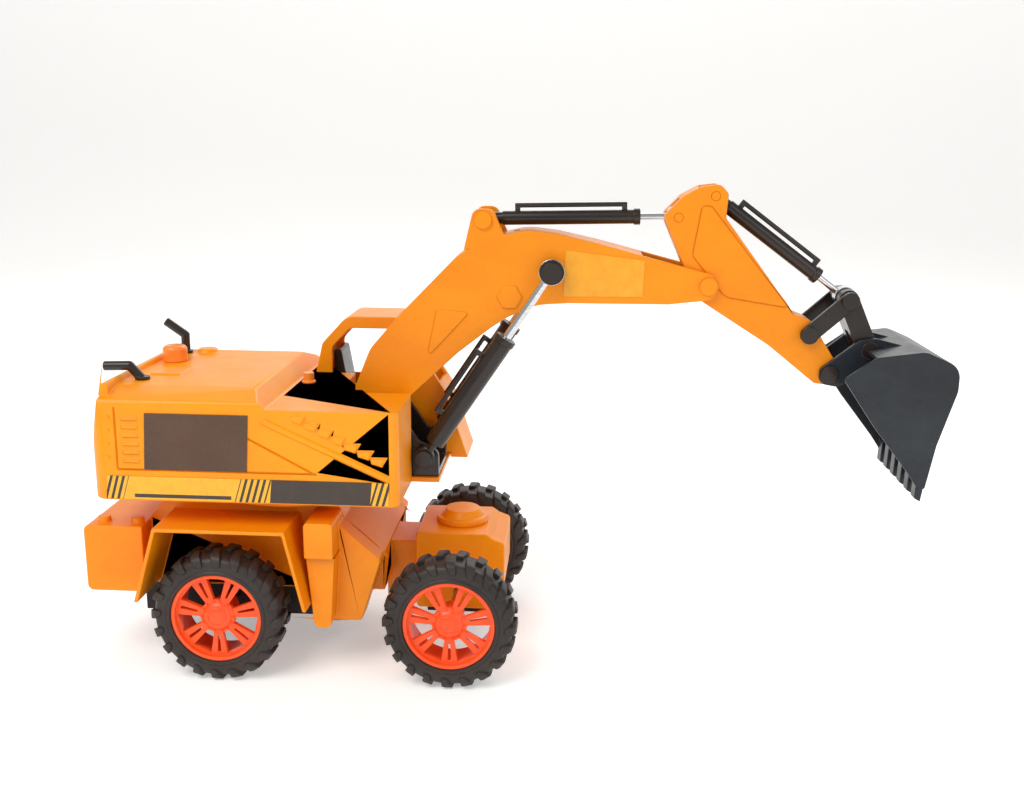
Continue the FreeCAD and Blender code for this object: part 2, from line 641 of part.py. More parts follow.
place(box(grown(KNOB_X, 7.5), grown(KNOB_Y, 4), (f"{BASE_FLOOR} + 1.5", f"{BASE_FLOOR} + 8")),
      "switch_housing")
screws = []
for spot in SCREWS:
    screws.append(fuse(rod("z", "2.6", ("base_low + 0.4", "base_low + 1.6"), spot),
                       rod("z", "1.2", ("base_low + 1.4", "hull_low - 2"), spot)))
place(fuse(*screws), "chassis_screws")


def front_housing():
    """Block that carries the front axle, chamfered above and at the nose."""
    outline = [("33", "leg_low - 2", "2"), ("70", "leg_low - 2", "3"), ("76", "36", "3"), ("76", "56.5", "2"),
               ("70.5", "58.5", "1.5"), ("67", "front_top", "1.5"), ("33", "front_top", "1.5")]
    block = plate("xz", outline, ("-front_half", "front_half"))
    room = box(("35.5", "65"), ("-front_half + wall", "front_half - wall"), ("leg_low - 3", "front_top - 3"))
    keyed = box(("32", "36"), ("-13.5", "13.5"), ("leg_low", "53.5"))
    bearing = rod("y", "axle_radius + 3", ("-front_half + 0.1", "front_half - 0.1"), (FRONT_X, AXLE_Z))
    hole = rod("y", "axle_radius + run_gap", ("-track_half", "track_half"), (FRONT_X, AXLE_Z))
    return cut(fuse(cut(block, room, keyed), bearing), hole)


place(front_housing(), "front_axle_housing")
dome = fuse(rod("z", "dome_radius", ("front_top", "front_top + 3"), (FRONT_X, "0")),
            cone("z", ("dome_radius - 2", "dome_radius - 4.5"), ("front_top + 3", "front_top + 6.5"),
                 (FRONT_X, "0")))
place(dome, "front_dome_cap")
place(box(("38", "70"), ("-18", "18"), ("leg_low - 5", "leg_low - 2")), "front_keel")

# ---------------------------------------------------------------- turntable
RING_TOP = "deck_top + 3.4"
place(gear("xy", 39, "ring_radius", 1.4, ("slew_x", "0"), ("deck_top", RING_TOP), "slew_pin_radius + 6"),
      "slew_ring_gear")

# ---------------------------------------------------------------- superstructure
SLEW_PINION_Y = "-(ring_radius + slew_pinion_radius + 0.3)"
FLOOR_IN = "(wall + seat_gap)"


def upper_floor():
    """Floor plate with the turntable's skirt, the hollow slewing spigot and board posts."""
    rear, right = f"casing_rear + {FLOOR_IN}", f"-casing_half + {FLOOR_IN}"
    left = f"casing_half - {FLOOR_IN}"
    outline = [(rear, right, "corner_radius - wall"), (f"casing_front - {FLOOR_IN}", right, "3"),
               (f"casing_front - {FLOOR_IN}", "-bay_right"), ("jack_foot_x + 7", "-bay_right"),
               ("jack_foot_x + 7", f"bay_left + cab_wall + {FLOOR_IN}"),
               (f"cab_front - cab_wall - {FLOOR_IN}", f"bay_left + cab_wall + {FLOOR_IN}"),
               (f"cab_front - cab_wall - {FLOOR_IN}", left), (rear, left, "corner_radius - wall")]
    sheet_of_floor = plate("xy", outline, ("floor_low", FLOOR_TOP))
    skirt_span = ("deck_top + 0.4", "floor_low + 0.5")
    skirt = cut(rod("z", "slew_radius", skirt_span, ("slew_x", "0")),
                rod("z", "slew_radius - 3", ("deck_top", "floor_low + 0.5"), ("slew_x", "0")))
    spigot = rod("z", "slew_pin_radius", ("deck_top - 9", "floor_low + 0.5"), ("slew_x", "0"))
    posts = [rod("z", "2", (f"{FLOOR_TOP} - 0.5", f"{FLOOR_TOP} + 6"), spot)
             for spot in (("-90", "4"), ("-90", "40"), ("-52", "4"), ("-52", "40"))]
    wire_way = rod("z", "slew_pin_radius - 2.5", ("deck_top - 10", f"{FLOOR_TOP} + 1"), ("slew_x", "0"))
    shaft_way = rod("z", "1.3", ("floor_low - 1", f"{FLOOR_TOP} + 1"), ("slew_x", SLEW_PINION_Y))
    return cut(fuse(sheet_of_floor, skirt, spigot, *posts), wire_way, shaft_way)


place(upper_floor(), "upper_floor")
washer = cut(rod("z", "slew_pin_radius + 5", ("deck_top - wall - 2.3", "deck_top - wall - 0.3"),
                 ("slew_x", "0")),
             rod("z", "slew_pin_radius + 0.02", ("deck_top - wall - 3", "deck_top"), ("slew_x", "0")))
place(washer, "slew_retainer")
slew_wheel = gear("xy", 6, "slew_pinion_radius", 1.2, ("slew_x", SLEW_PINION_Y), ("deck_top + 0.4", RING_TOP),
                  "0.7")
slew_shaft = rod("z", SHAFT, ("deck_top + 1", FLOOR_TOP), ("slew_x", SLEW_PINION_Y))
place(fuse(slew_wheel, slew_shaft), "slew_pinion")
place(rod("z", "8", (f"{FLOOR_TOP} + 0.3", f"{FLOOR_TOP} + 20"), ("slew_x", SLEW_PINION_Y)), "slew_motor")
board = fuse(box(("-94", "-48"), ("0", "44"), (f"{FLOOR_TOP} + 6", f"{FLOOR_TOP} + 7.6")),
             box(("-78", "-66"), ("14", "30"), (f"{FLOOR_TOP} + 7.5", f"{FLOOR_TOP} + 9.5")),
             rod("z", "3", (f"{FLOOR_TOP} + 7.5", f"{FLOOR_TOP} + 14"), ("-56", "14")))
place(board, "circuit_board")


def casing_block(inset, low):
    """The casing's outside (inset 0) or its cavity (inset one wall)."""
    bay_side = f"bay_left - seat_gap - {inset}"
    plan = plate("xy", [(f"casing_rear + {inset}", f"-casing_half + {inset}", f"corner_radius - {inset}"),
                        (f"casing_front - {inset}", f"-casing_half + {inset}", f"4 - {inset}"),
                        (f"casing_front - {inset}", f"-bay_right - {inset}"),
                        (f"bay_back - {inset}", f"-bay_right - {inset}"),
                        (f"bay_back - {inset}", bay_side),
                        (f"bay_rear - {inset}", bay_side),
                        (f"bay_rear - {inset}", f"casing_half - {inset}"),
                        (f"casing_rear + {inset}", f"casing_half - {inset}", f"corner_radius - {inset}")],
                 (low, "casing_top + roof_crown + 1"))
    side = plate("xz", [(f"casing_rear - 1 + {inset}", low), (f"casing_front + 1 - {inset}", low),
                        (f"casing_front + 1 - {inset}", f"block_top - {inset}"),
                        (f"-28 - {inset} * 0.3", f"block_top - {inset}", "2.5"),
                        (f"-35.5 - {inset} * 0.3", f"casing_top + roof_crown - {inset}", "3.5"),
                        (f"casing_rear + 6 + {inset}", f"casing_top + roof_crown - {inset}", "3"),
                        (f"casing_rear + {inset}", "106"), (f"casing_rear - 1 + {inset}", "100")],
                 ("-casing_half - 1", "casing_half + 1"))
    roof = plate("yz", crown_outline(inset, low), ("casing_rear - 2", "casing_front + 2"))
    return common(common(plan, side), roof)


def crown_outline(inset, low):
    """Section of the casing across the toy: upright sides and a roof that rises to a flat middle."""
    half = [(f"casing_half + 1 - {inset}", low), (f"casing_half + 1 - {inset}", f"casing_top - 5 - {inset}"),
            (f"casing_half - 1 - {inset}", f"casing_top - 1.5 - {inset}"),
            (f"casing_half - 14 - {inset}", f"casing_top + roof_crown - {inset}"),
            (f"casing_half - 15 - {inset}", "casing_top + roof_crown + 2")]
    return half + [(f"-({across})", up) for across, up in reversed(half)]


STEP_X, STEP_Z = (-16.4, 5.9), (7.0, 3.05)


def casing_trim():
    """Vent ribs, rivets, the slanting ridge and its seven steps on each side that has them."""
    proud = ("casing_half - 0.5", "casing_half + 0.7")
    pieces = []
    for name, span in sides():
        for index in range(6):
            height = f"casing_top - {9 + 3.9 * index:.1f}"
            pieces.append(box(("-93", "-85.5"), span(*proud), (shift(height, -1.7), height)))
    for index in range(7):
        low_x = STEP_X[0] + STEP_X[1] * index
        drop = STEP_Z[0] + STEP_Z[1] * index
        wedge = [(low_x, drop), (low_x + 6.6, drop), (low_x + 4.6, drop + 3.4), (low_x + 0.6, drop + 2.2)]
        pieces.append(plate("xz", [(f"{x:.2f}", f"casing_top - {down:.2f}") for x, down in wedge],
                            ("-casing_half - 1.2", "-casing_half + 0.5")))
    pieces.append(plate("xz", [("-28", "casing_top - 8.5"), ("26.5", "casing_top - 33.6"),
                               ("26.5", "casing_top - 36.3"), ("-30", "casing_top - 10.6")],
                        ("-casing_half - 0.9", "-casing_half + 0.5")))
    return pieces


def panel_grooves():
    """Thin grooves round the service panel on each side, with a slanting front end."""
    pieces = []
    for name, span in sides():
        deep = span("casing_half - 0.4", "casing_half + 2")
        pieces.append(box(("-96.1", "-95.7"), deep, ("casing_top - 33.4", "casing_top - 5")))
        pieces.append(box(("-96.1", "-5.8"), deep, ("casing_top - 33.6", "casing_top - 33.2")))
        pieces.append(plate("xz", [("-7.2", "casing_top - 33.4"), ("-36", "casing_top - 18"),
                                   ("-36", "casing_top - 17.5"), ("-6.2", "casing_top - 33.4")], deep))
    return pieces


def rear_lip():
    """Raised lip along the rear edge of the roof."""
    outline = [("casing_rear + 4.4", "casing_top - 8"), ("casing_rear + 9.4", "casing_top - 8"),
               ("casing_rear + 9.4", "casing_top + 3.4"), ("casing_rear + 8.4", "casing_top + 5", "0.8"),
               ("casing_rear + 6.1", "casing_top + 5", "1.2")]
    return plate("xz", outline, ("-casing_half + 4", "casing_half - 4"))


ROOF = "casing_top + roof_crown"


def hood_casing():
    outer = casing_block("0", "floor_low")
    boss = cone("z", ("6", "4.4"), (f"{ROOF} - 0.5", f"{ROOF} + 2.2"), ("-84", "36"))
    hatch = box(("-92", "-78"), ("-22", "-6"), (f"{ROOF} - 0.5", f"{ROOF} + 0.8"))
    slot = box(("-27", "-7"), ("-27.5", "-26.7"), ("block_top - 0.6", "block_top + 1"))
    beside_bay = box((f"bay_back - {FLOOR_IN}", "casing_front - wall"), (f"-bay_right - {FLOOR_IN}",
                                                                         "-bay_right + 1"),
                     ("floor_low - 1", FLOOR_TOP))
    behind_bay = box((f"bay_back - {FLOOR_IN}", "bay_back + 1"), ("-bay_right - 1", "bay_left"),
                     ("floor_low - 1", FLOOR_TOP))
    beside_cab = box((f"bay_rear - {FLOOR_IN}", "bay_back + 1"), (f"bay_left - seat_gap - {FLOOR_IN}",
                                                                  "bay_left"),
                     ("floor_low - 1", FLOOR_TOP))
    behind_cab = box((f"bay_rear - {FLOOR_IN}", "bay_rear + 1"), ("bay_left - 1", "casing_half - wall"),
                     ("floor_low - 1", FLOOR_TOP))
    solid = fuse(outer, rear_lip(), boss, hatch, *casing_trim())
    return cut(solid, casing_block("wall", "floor_low - 2"), slot, *panel_grooves(),
               beside_bay, behind_bay, beside_cab, behind_cab)


place(hood_casing(), "hood_casing")
WINDOW = [("-83.5", "casing_top - 33"), ("-37", "casing_top - 33"), ("-35.5", "casing_top - 7.2"),
          ("-82", "casing_top - 7.2")]
LABEL = [("casing_rear + corner_radius - 0.8", "floor_low + 0.8"), ("casing_front - 4.5", "floor_low + 0.8"),
         ("casing_front - 4", "floor_low + 11.5"), ("casing_rear + corner_radius", "floor_low + 11.5")]
LABEL_SHORT = [LABEL[0], ("bay_rear - 3", "floor_low + 0.8"), ("bay_rear - 2.5", "floor_low + 11.5"),
               LABEL[3]]
place(fuse(*[plate("xz", WINDOW, span("casing_half + 0.05", "casing_half + 0.5")) for name, span in sides()]),
      "side_windows")
place(fuse(*[plate("xz", LABEL if name == "right" else LABEL_SHORT, span("casing_half + 0.05",
                                                                         "casing_half + 0.35"))
             for name, span in sides()]), "side_labels")
place(fuse(rod("z", "6", (f"{ROOF} + 0.05", f"{ROOF} + 6.5"), ("-92.5", "12")),
           cone("z", ("6", "4.8"), (f"{ROOF} + 6.5", f"{ROOF} + 8"), ("-92.5", "12"))), "roof_beacon")
place(fuse(rod("z", "2.6", ("block_top + 0.05", "block_top + 5.2"), ("-22", "0")),
           rod("z", "3.4", ("block_top + 0.05", "block_top + 1.2"), ("-22", "0"))), "roof_knob")


def leaning(radius, length, lean, start=0.0):
    """Round bar along a direction that leans from upright towards the rear, from a distance along it."""
    bar_piece = doc.addObject("Part::Cylinder", "pipe")
    bar_piece.Radius = radius
    bar_piece.Height = length
    turn = FreeCAD.Rotation(FreeCAD.Vector(0, 1, 0), lean)
    bar_piece.Placement = FreeCAD.Placement(turn.multVec(FreeCAD.Vector(0, 0, start)), turn)
    return bar_piece


def lifted(piece, lean, by):
    """Moves a piece by a distance along a direction that leans towards the rear."""
    turn = FreeCAD.Rotation(FreeCAD.Vector(0, 1, 0), lean)
    piece.Placement.Base = piece.Placement.Base + turn.multVec(FreeCAD.Vector(0, 0, by))
    return piece


def exhaust(tilt, bend, riser):
    """Bent tail pipe on its flange, made at its own foot: a leaning riser, an elbow and an outlet."""
    flange = leaning(3.4, 1.5, 0)
    foot = leaning(2.2, riser, tilt)
    elbow = doc.addObject("Part::Sphere", "elbow")
    elbow.Radius = 2.2
    lifted(elbow, tilt, riser)
    outlet = lifted(leaning(2.2, 12, tilt + bend), tilt, riser)
    mouth = lifted(leaning(1.4, 6, tilt + bend, 7), tilt, riser)
    below = box(("-10", "10"), ("-10", "10"), ("-10", "0"))
    return cut(fuse(flange, foot, elbow, outlet), mouth, below)


place(fuse(moved(exhaust(-42, -50, 8.5), ("-92", "-32", f"{ROOF} + 0.05")),
           moved(exhaust(0, -55, 9.5), ("-94.5", "33", f"{ROOF} + 0.05"))),
      "exhaust_pipes")


def cab_outline(inset, low):
    return [(f"cab_rear + {inset}", low), (f"cab_front - {inset}", low), (f"41.5 - {inset}", "120.8"),
            (f"17.5 - {inset} * 0.6", f"cab_top - {inset}", "3"), (f"-8 + {inset} * 0.4",
                                                                   f"cab_top - {inset}", "8"),
            (f"cab_rear + 5.5 + {inset}", f"cab_top - 14 - {inset} * 0.3", "6"), (f"cab_rear + {inset}",
                                                                                  "120")]


def cab_shell():
    """Hollow cab with side windows, a windscreen opening and a deck for the seat."""
    outer = plate("xz", cab_outline("0", "floor_low"), ("bay_left", "casing_half"))
    inner = plate("xz", cab_outline("cab_wall", "floor_low - 2"),
                  ("bay_left + cab_wall", "casing_half - cab_wall"))
    side_glass = plate("xz", [("-16", "123", "2"), ("33", "123", "3"), ("13.5", "cab_top - 6", "4"),
                              ("-6.5", "cab_top - 6", "6"), ("-16", "142", "5")], ("bay_left - 1",
                                                                                   "casing_half + 1"))
    front_glass = plate("xz", [("30", "123.5"), ("48", "123.5"), ("25", "cab_top - 5"),
                               ("12", "cab_top - 5")],
                        ("bay_left + cab_wall + 1.5", "casing_half - cab_wall - 1.5"))
    casing_corner = box(("cab_rear - 2", "bay_rear + seat_gap"), ("0", "casing_half + 1"),
                        ("floor_low - 1", f"{ROOF} + 1"))
    over_floor = box(("cab_rear - 1", "jack_foot_x + 7.3"), ("bay_left - 1", "casing_half - wall"),
                     ("floor_low - 1", FLOOR_TOP))
    beside_floor = box(("jack_foot_x + 7", f"cab_front - cab_wall - {FLOOR_IN} + 0.3"),
                       ("bay_left + cab_wall", "casing_half - wall"), ("floor_low - 1", FLOOR_TOP))
    deck = box(("cab_rear + cab_wall - 0.5", "42"), ("bay_left + cab_wall - 0.5",
                                                     "casing_half - cab_wall + 0.5"),
               ("104", "106.4"))
    return fuse(cut(outer, inner, side_glass, front_glass, casing_corner, over_floor, beside_floor), deck)


place(cab_shell(), "cab_shell")
SEAT = [("-14", "106.5"), ("8", "106.5", "2"), ("9", "115", "3"), ("-8.5", "117"), ("-12.5", "140", "1.5"),
        ("-16.5", "140", "1.5")]
place(plate("xz", SEAT, ("31", "51")), "cab_seat")
levers = [rod("z", "0.9", ("120", "130"), ("22", y)) for y in ("34", "48")]
grips = [rod("z", "1.7", ("129", "134"), ("22", y)) for y in ("34", "48")]
place(fuse(plate("xz", [("13", "106.5"), ("30", "106.5"), ("30", "118", "2"), ("15", "121", "2")],
                 ("30", "52")),
           *levers, *grips), "cab_console")

CHEEK_IN = "boom_half + 0.35"
CHEEK_OUT = "boom_half + 3.2"


def boom_bracket():
    """Black bracket: two cheeks on a foot plate, with the boom's and the cylinders' pivots."""
    solids = [box(("bay_back + seat_gap", "jack_foot_x + 6.5"), (f"-({CHEEK_OUT})", CHEEK_OUT),
                  (f"{FLOOR_TOP} + 0.02", f"{FLOOR_TOP} + 3"))]
    for name, span in sides():
        solids.append(plate("xz", [("bay_back + seat_gap", FLOOR_TOP + " + 0.02"),
                                   ("jack_foot_x + 6.5", FLOOR_TOP + " + 0.02"),
                                   ("jack_foot_x + 6.5", "jack_foot_z + 2", "4"), ("jack_foot_x - 3",
                                                                                   "jack_foot_z + 7"),
                                   ("boom_foot_x + 8", "boom_foot_z + 7", "5"), ("boom_foot_x - 8",
                                                                                 "boom_foot_z + 7", "5"),
                                   ("boom_foot_x - 11", "boom_foot_z - 8", "4")], span(CHEEK_IN, CHEEK_OUT)))
    boom_eye = rod("y", EYE, ("-30", "30"), ("boom_foot_x", "boom_foot_z"))
    jack_eye = rod("y", "pin_radius", ("-30", "30"), ("jack_foot_x", "jack_foot_z"))
    return cut(fuse(*solids), boom_eye, jack_eye)


place(boom_bracket(), "boom_bracket")
place(pivot_pin(("boom_foot_x", "boom_foot_z"), CHEEK_OUT), "boom_foot_pin")
jack_heads = [rod("y", "pin_head", span("jack_side + 2.5", "jack_side + 3.8"), ("jack_foot_x", "jack_foot_z"))
              for name, span in sides()]
place(fuse(rod("y", "pin_radius - 0.02", opposite_span("jack_side + 3"), ("jack_foot_x", "jack_foot_z")),
           *jack_heads),
      "jack_foot_pin")

# ---------------------------------------------------------------- boom
def boom_point(across, up, *rounding):
    """A point of the boom's side view, given for a 155.8 by 62.2 boom, stretched with it."""
    return (f"boom_foot_x + boom_reach * {(across - 12.0) / 155.8:.4f}",
            f"boom_foot_z + boom_rise * {(up - 119.0) / 62.2:.4f}", *rounding)


BOOM_OUTLINE = [boom_point(*point) for point in (
    (3, 112, "6"), (15, 109.5, "6"), (24, 121, "8"), (52.6, 147.9), (68.1, 160.1), (76.5, 165.6, "12"), (90,
                                                                                                         171.3, "20"),
    (104, 172.3), (150, 172.6), (170, 175, "4"), (173.2, 181, "3"), (169.5, 186.6, "4"), (118.3,
                                                                                          199.6), (98.3, 204,
                                                                                                   "25"),
    (84, 205.6, "25"), (66, 201.5, "20"), (52, 193), (24, 164.2), (11, 149, "15"), (3.6, 131))]
FORK_X = f"{TIP_X} - 30"


def boom_half(span):
    """One moulded half of the boom, open towards the other, with a plain cheek at the tip."""
    eyes = [("boom_foot_x", "boom_foot_z", EYE), (TIP_X, TIP_Z, "pin_radius"),
            (BALL_X, BALL_Z, "ball_radius")]
    half = cut(plate("xz", BOOM_OUTLINE, span("0.02", "boom_half"), eyes),
               cavity(BOOM_OUTLINE, span("-1", "boom_half - wall"), eyes))
    fork_room = box((FORK_X, f"{TIP_X} + 20"), span("-1", "arm_half + 0.4"),
                    (f"{TIP_Z} - 20", f"{TIP_Z} + 40"))
    ear = plate("xz", [(f"{ARM_FOOT_X} - 9", f"{ARM_FOOT_Z} - 14"),
                       (f"{ARM_FOOT_X} + 11", f"{ARM_FOOT_Z} - 10"),
                       (f"{ARM_FOOT_X} + 4.5", f"{ARM_FOOT_Z} + 5", "4"), (f"{ARM_FOOT_X} - 4.5",
                                                                           f"{ARM_FOOT_Z} + 5", "4")],
                span("boom_half - 3", "boom_half"))
    slot = box((f"{ARM_FOOT_X} - 6.5", f"{ARM_FOOT_X} + 16"), span("-1", "3.6"),
               (f"{ARM_FOOT_Z} - 6", f"{ARM_FOOT_Z} + 6"))
    hexagon = [(f"{BALL_X} - 19.6 + 6 * cos({turn})",
                f"{BALL_Z} - 12.7 + 6 * sin({turn})") for turn in range(0, 360, 60)]
    boss = plate("xz", hexagon, span("boom_half - 0.5", "boom_half + 0.9"))
    rib = plate("xz", [boom_point(42.7, 168.5, "1"), boom_point(58.2, 167.3, "1"),
                       boom_point(38, 145.2, "1")],
                span("boom_half - 0.5", "boom_half + 0.7"))
    pin_way = rod("y", "pin_radius", ("-30", "30"), (ARM_FOOT_X, ARM_FOOT_Z))
    return cut(fuse(cut(half, fork_room), ear, boss, rib), slot, pin_way)


for side_name, side_span in sides():
    place(boom_half(side_span), f"boom_half_{side_name}")
BOOM_LABEL = [boom_point(*corner) for corner in ((101.7, 175.5), (138, 175.9), (138.5, 192.6),
                                                 (102.3, 196.8))]
place(fuse(*[plate("xz", BOOM_LABEL, span("boom_half + 0.05", "boom_half + 0.35")) for name,
             span in sides()]),
      "boom_labels")
place(pivot_pin((TIP_X, TIP_Z), "boom_half"), "arm_pivot_pin")
place(pivot_pin((ARM_FOOT_X, ARM_FOOT_Z), "boom_half"), "arm_jack_foot_pin")
balls = []
for side_name, side_span in sides():
    stud = rod("y", "ball_radius", side_span("boom_half - 1.5", "jack_side + 2.8"), (BALL_X, BALL_Z))
    collar = rod("y", "ball_radius + 1.6", side_span("boom_half", "jack_side - 2.6"), (BALL_X, BALL_Z))
    cap = rod("y", "ball_radius + 1.9", side_span("jack_side + 2.6", "jack_side + 4"), (BALL_X, BALL_Z))
    balls.append(fuse(stud, collar, cap))
place(fuse(*balls), "ball_studs")


# ---------------------------------------------------------------- cylinders
def ram(length, barrel_radius, rod_radius, eye_half, eye_out, pipe_span, pipe_up):
    """Barrel of a cylinder along local +X from its foot pivot, with a feed pipe beside it."""
    barrel = rod("x", barrel_radius, (f"{eye_out} + 4", length), ("0", "0"))
    stem = rod("x", f"{eye_half} - 0.2", ("0", f"{eye_out} + 5"), ("0", "0"))
    neck = rod("x", f"{barrel_radius} + 0.5", (f"({length}) - 3", length), ("0", "0"))
    foot = rod("y", eye_out, (f"-({eye_half})", eye_half), ("0", "0"))
    pipe_low, pipe_high = pipe_span
    pipe = rod("x", "1.1", (pipe_low, pipe_high), ("0", f"{barrel_radius} + {pipe_up}"))
    posts = [box((spot, shift(spot, 2.4)), ("-1", "1"), (f"({barrel_radius}) - 1",
                                                         f"{barrel_radius} + {pipe_up}"))
             for spot in (pipe_low, shift(pipe_high, -2.4))]
    bore = rod("x", f"{rod_radius} + run_gap", (shift(eye_out, 5.5), f"({length}) + 1"), ("0", "0"))
    eye = rod("y", EYE, ("-10", "10"), ("0", "0"))
    return cut(fuse(barrel, stem, neck, foot, pipe, *posts), bore, eye)


def ram_rod(start, reach, radius, eye_half, eye_out, hole):
    """Piston rod along local +X, from inside the barrel to the eye at its head."""
    bar_of_steel = rod("x", radius, (start, f"({reach}) - 1"), ("0", "0"))
    head = rod("y", eye_out, (f"-({eye_half})", eye_half), (reach, "0"))
    return cut(fuse(bar_of_steel, head), rod("y", hole, ("-10", "10"), (reach, "0")))


def span_between(start, end):
    """Length and slope of the line from one pivot to another."""
    rise, run = f"(({end[1]}) - ({start[1]}))", f"(({end[0]}) - ({start[0]}))"
    return f"sqrt(pow({run}; 2) + pow({rise}; 2))", f"atan2({rise}; {run})"


JACK_FOOT, BALL = ("jack_foot_x", "jack_foot_z"), (BALL_X, BALL_Z)
JACK_REACH, JACK_SLOPE = span_between(JACK_FOOT, BALL)
BALL_EYE = "ball_radius + open_gap"
barrels, rods = [], []
for side_name, side_span in sides():
    middle = side_span("jack_side", "jack_side")[0]
    barrel = ram("jack_length", "jack_radius", "jack_rod_radius", "2.2", "5", ("22", "jack_length - 12"), "3")
    barrels.append(moved(barrel, ("0", middle, "0")))
    rods.append(moved(ram_rod("32", JACK_REACH, "jack_rod_radius", "2.2", BALL_EYE + " + 2", BALL_EYE),
                      ("0", middle, "0")))
AT_JACK = ("jack_foot_x", "0", "jack_foot_z")
place(fuse(*barrels), "boom_jack_barrels", AT_JACK, JACK_SLOPE)
place(fuse(*rods), "boom_jack_rods", AT_JACK, JACK_SLOPE)

ARM_FOOT, ARM_HEAD = (ARM_FOOT_X, ARM_FOOT_Z), (ARM_HEAD_X, ARM_HEAD_Z)
ARM_REACH, ARM_SLOPE = span_between(ARM_FOOT, ARM_HEAD)
at_foot = (ARM_FOOT_X, "0", ARM_FOOT_Z)
place(ram("arm_ram_length", "ram_radius", "ram_rod_radius", "3", "4.2", ("14", "arm_ram_length - 6"), "2.4"),
      "arm_jack_barrel", at_foot, ARM_SLOPE)
place(ram_rod("34", ARM_REACH, "ram_rod_radius", "3", OPEN_EYE + " + 1.8", OPEN_EYE), "arm_jack_rod", at_foot,
      ARM_SLOPE)

BUCKET_FOOT, LEVER_TIP = (BUCKET_FOOT_X, BUCKET_FOOT_Z), (LEVER_TIP_X, LEVER_TIP_Z)
BUCKET_REACH = span_between(LEVER_TIP, BUCKET_FOOT)[0]
BUCKET_DROP = f"atan2(({BUCKET_FOOT_Z}) - ({LEVER_TIP_Z}); ({LEVER_TIP_X}) - ({BUCKET_FOOT_X}))"
at_foot = (BUCKET_FOOT_X, "0", BUCKET_FOOT_Z)
place(ram("bucket_ram_length", "ram_radius", "ram_rod_radius", "3", "4.2", ("12", "bucket_ram_length - 4"),
          "2.4"),
      "bucket_jack_barrel", at_foot, BUCKET_DROP, way=-1)
place(ram_rod("30", BUCKET_REACH, "ram_rod_radius", "3", OPEN_EYE + " + 1.8", OPEN_EYE), "bucket_jack_rod",
      at_foot, BUCKET_DROP, way=-1)

# ---------------------------------------------------------------- arm
def arm_point(across, up, *rounding):
    """A point of the arm's side view, given for a 57.4 by 39.7 arm, stretched with it."""
    return (f"{TIP_X} + arm_dx * {(across - 167.8) / 57.4:.4f}",
            f"{TIP_Z} + arm_dz * {(up - 181.2) / 39.7:.4f}", *rounding)


ARM_OUTLINE = [arm_point(*point) for point in (
    (146.4, 212.5, "4"), (155.2, 221.8, "4"), (163, 226, "5"), (171.5, 227, "3"), (175.3, 223, "3"), (174.6,
                                                                                                      212),
    (208, 168.6), (215.8, 165.8, "3"), (231.5, 142, "4"), (228, 135.5, "3"), (219, 136.5, "3"), (197, 154,
                                                                                                 "20"),
    (163.5, 175, "6"), (155, 193))]


def arm_half(span):
    """One moulded half of the arm, with its pivots and the gaps that its cylinders pass through."""
    eyes = [(TIP_X, TIP_Z, EYE), (ARM_HEAD_X, ARM_HEAD_Z, "pin_radius"), (BUCKET_FOOT_X, BUCKET_FOOT_Z,
                                                                          "pin_radius"),
            (LEVER_X, LEVER_Z, "pin_radius"), (BUCKET_X, BUCKET_Z, EYE)]
    solid = plate("xz", ARM_OUTLINE, span("0.02", "arm_half"), eyes)
    room = cavity(ARM_OUTLINE, span("-1", "arm_half - wall"), eyes)
    head_slot = box((f"{ARM_HEAD_X} - 12", f"{ARM_HEAD_X} + 7"), span("-1", "4"),
                    (f"{ARM_HEAD_Z} - 10", f"{ARM_HEAD_Z} + 8"))
    foot_slot = box((f"{BUCKET_FOOT_X} - 7", f"{BUCKET_FOOT_X} + 9"), span("-1", "5"),
                    (f"{BUCKET_FOOT_Z} - 12", f"{BUCKET_FOOT_Z} + 8"))
    panel = plate("xz", [arm_point(*corner) for corner in (
        (163.5, 217.8, "2"), (168, 217.2, "2"), (205.5, 171.5, "1"), (176, 176, "6"), (160, 195, "3"))],
        span("arm_half - 0.5", "arm_half + 0.25"))
    panel_eye = rod("y", EYE, ("-30", "30"), (TIP_X, TIP_Z))
    return cut(fuse(cut(solid, room), panel), head_slot, foot_slot, panel_eye)


for side_name, side_span in sides():
    place(arm_half(side_span), f"arm_half_{side_name}")
head_pins = [rod("y", "pin_radius", opposite_span("arm_half + 0.2"), spot) for spot in (ARM_HEAD,
                                                                                        BUCKET_FOOT)]
place(fuse(*head_pins), "arm_head_pins")
place(pivot_pin((LEVER_X, LEVER_Z), "ear_half + 0.2"), "rocker_pin")

# ---------------------------------------------------------------- linkage and bucket
LEVER, LINK_END = (LEVER_X, LEVER_Z), (LINK_X, LINK_Z)
EAR_IN = "arm_half + 0.5"
levers = [bar(LEVER, LEVER_TIP, "4", span(EAR_IN, "ear_half"), (EYE, "pin_radius")) for name, span in sides()]
place(fuse(*levers), "rocker_lever")
place(pivot_pin(LEVER_TIP, "ear_half"), "rocker_top_pin")
LINK_HALF = "arm_half - 0.2"
frame_bar = bar(LEVER_TIP, LINK_END, "4.6", opposite_span(LINK_HALF), (EYE, OPEN_EYE))
link_room = [box((f"{LEVER_TIP_X} - 9", f"{LEVER_TIP_X} + 9"), opposite_span("3.4"),
                 (f"{LEVER_TIP_Z} - 8", f"{LEVER_TIP_Z} + 9")),
             box((f"{LINK_X} - 9", f"{LINK_X} + 9"), opposite_span("3.4"),
                 (f"{LINK_Z} - 7", f"{LINK_Z} + 7"))]
place(cut(frame_bar, *link_room), "bucket_link")


def bucket_point(across, up, *rounding):
    """A point of the bucket's side view, measured from its pivot."""
    return (f"{BUCKET_X} + {across - 225.2:.1f}", f"{BUCKET_Z} + {up - 141.5:.1f}", *rounding)


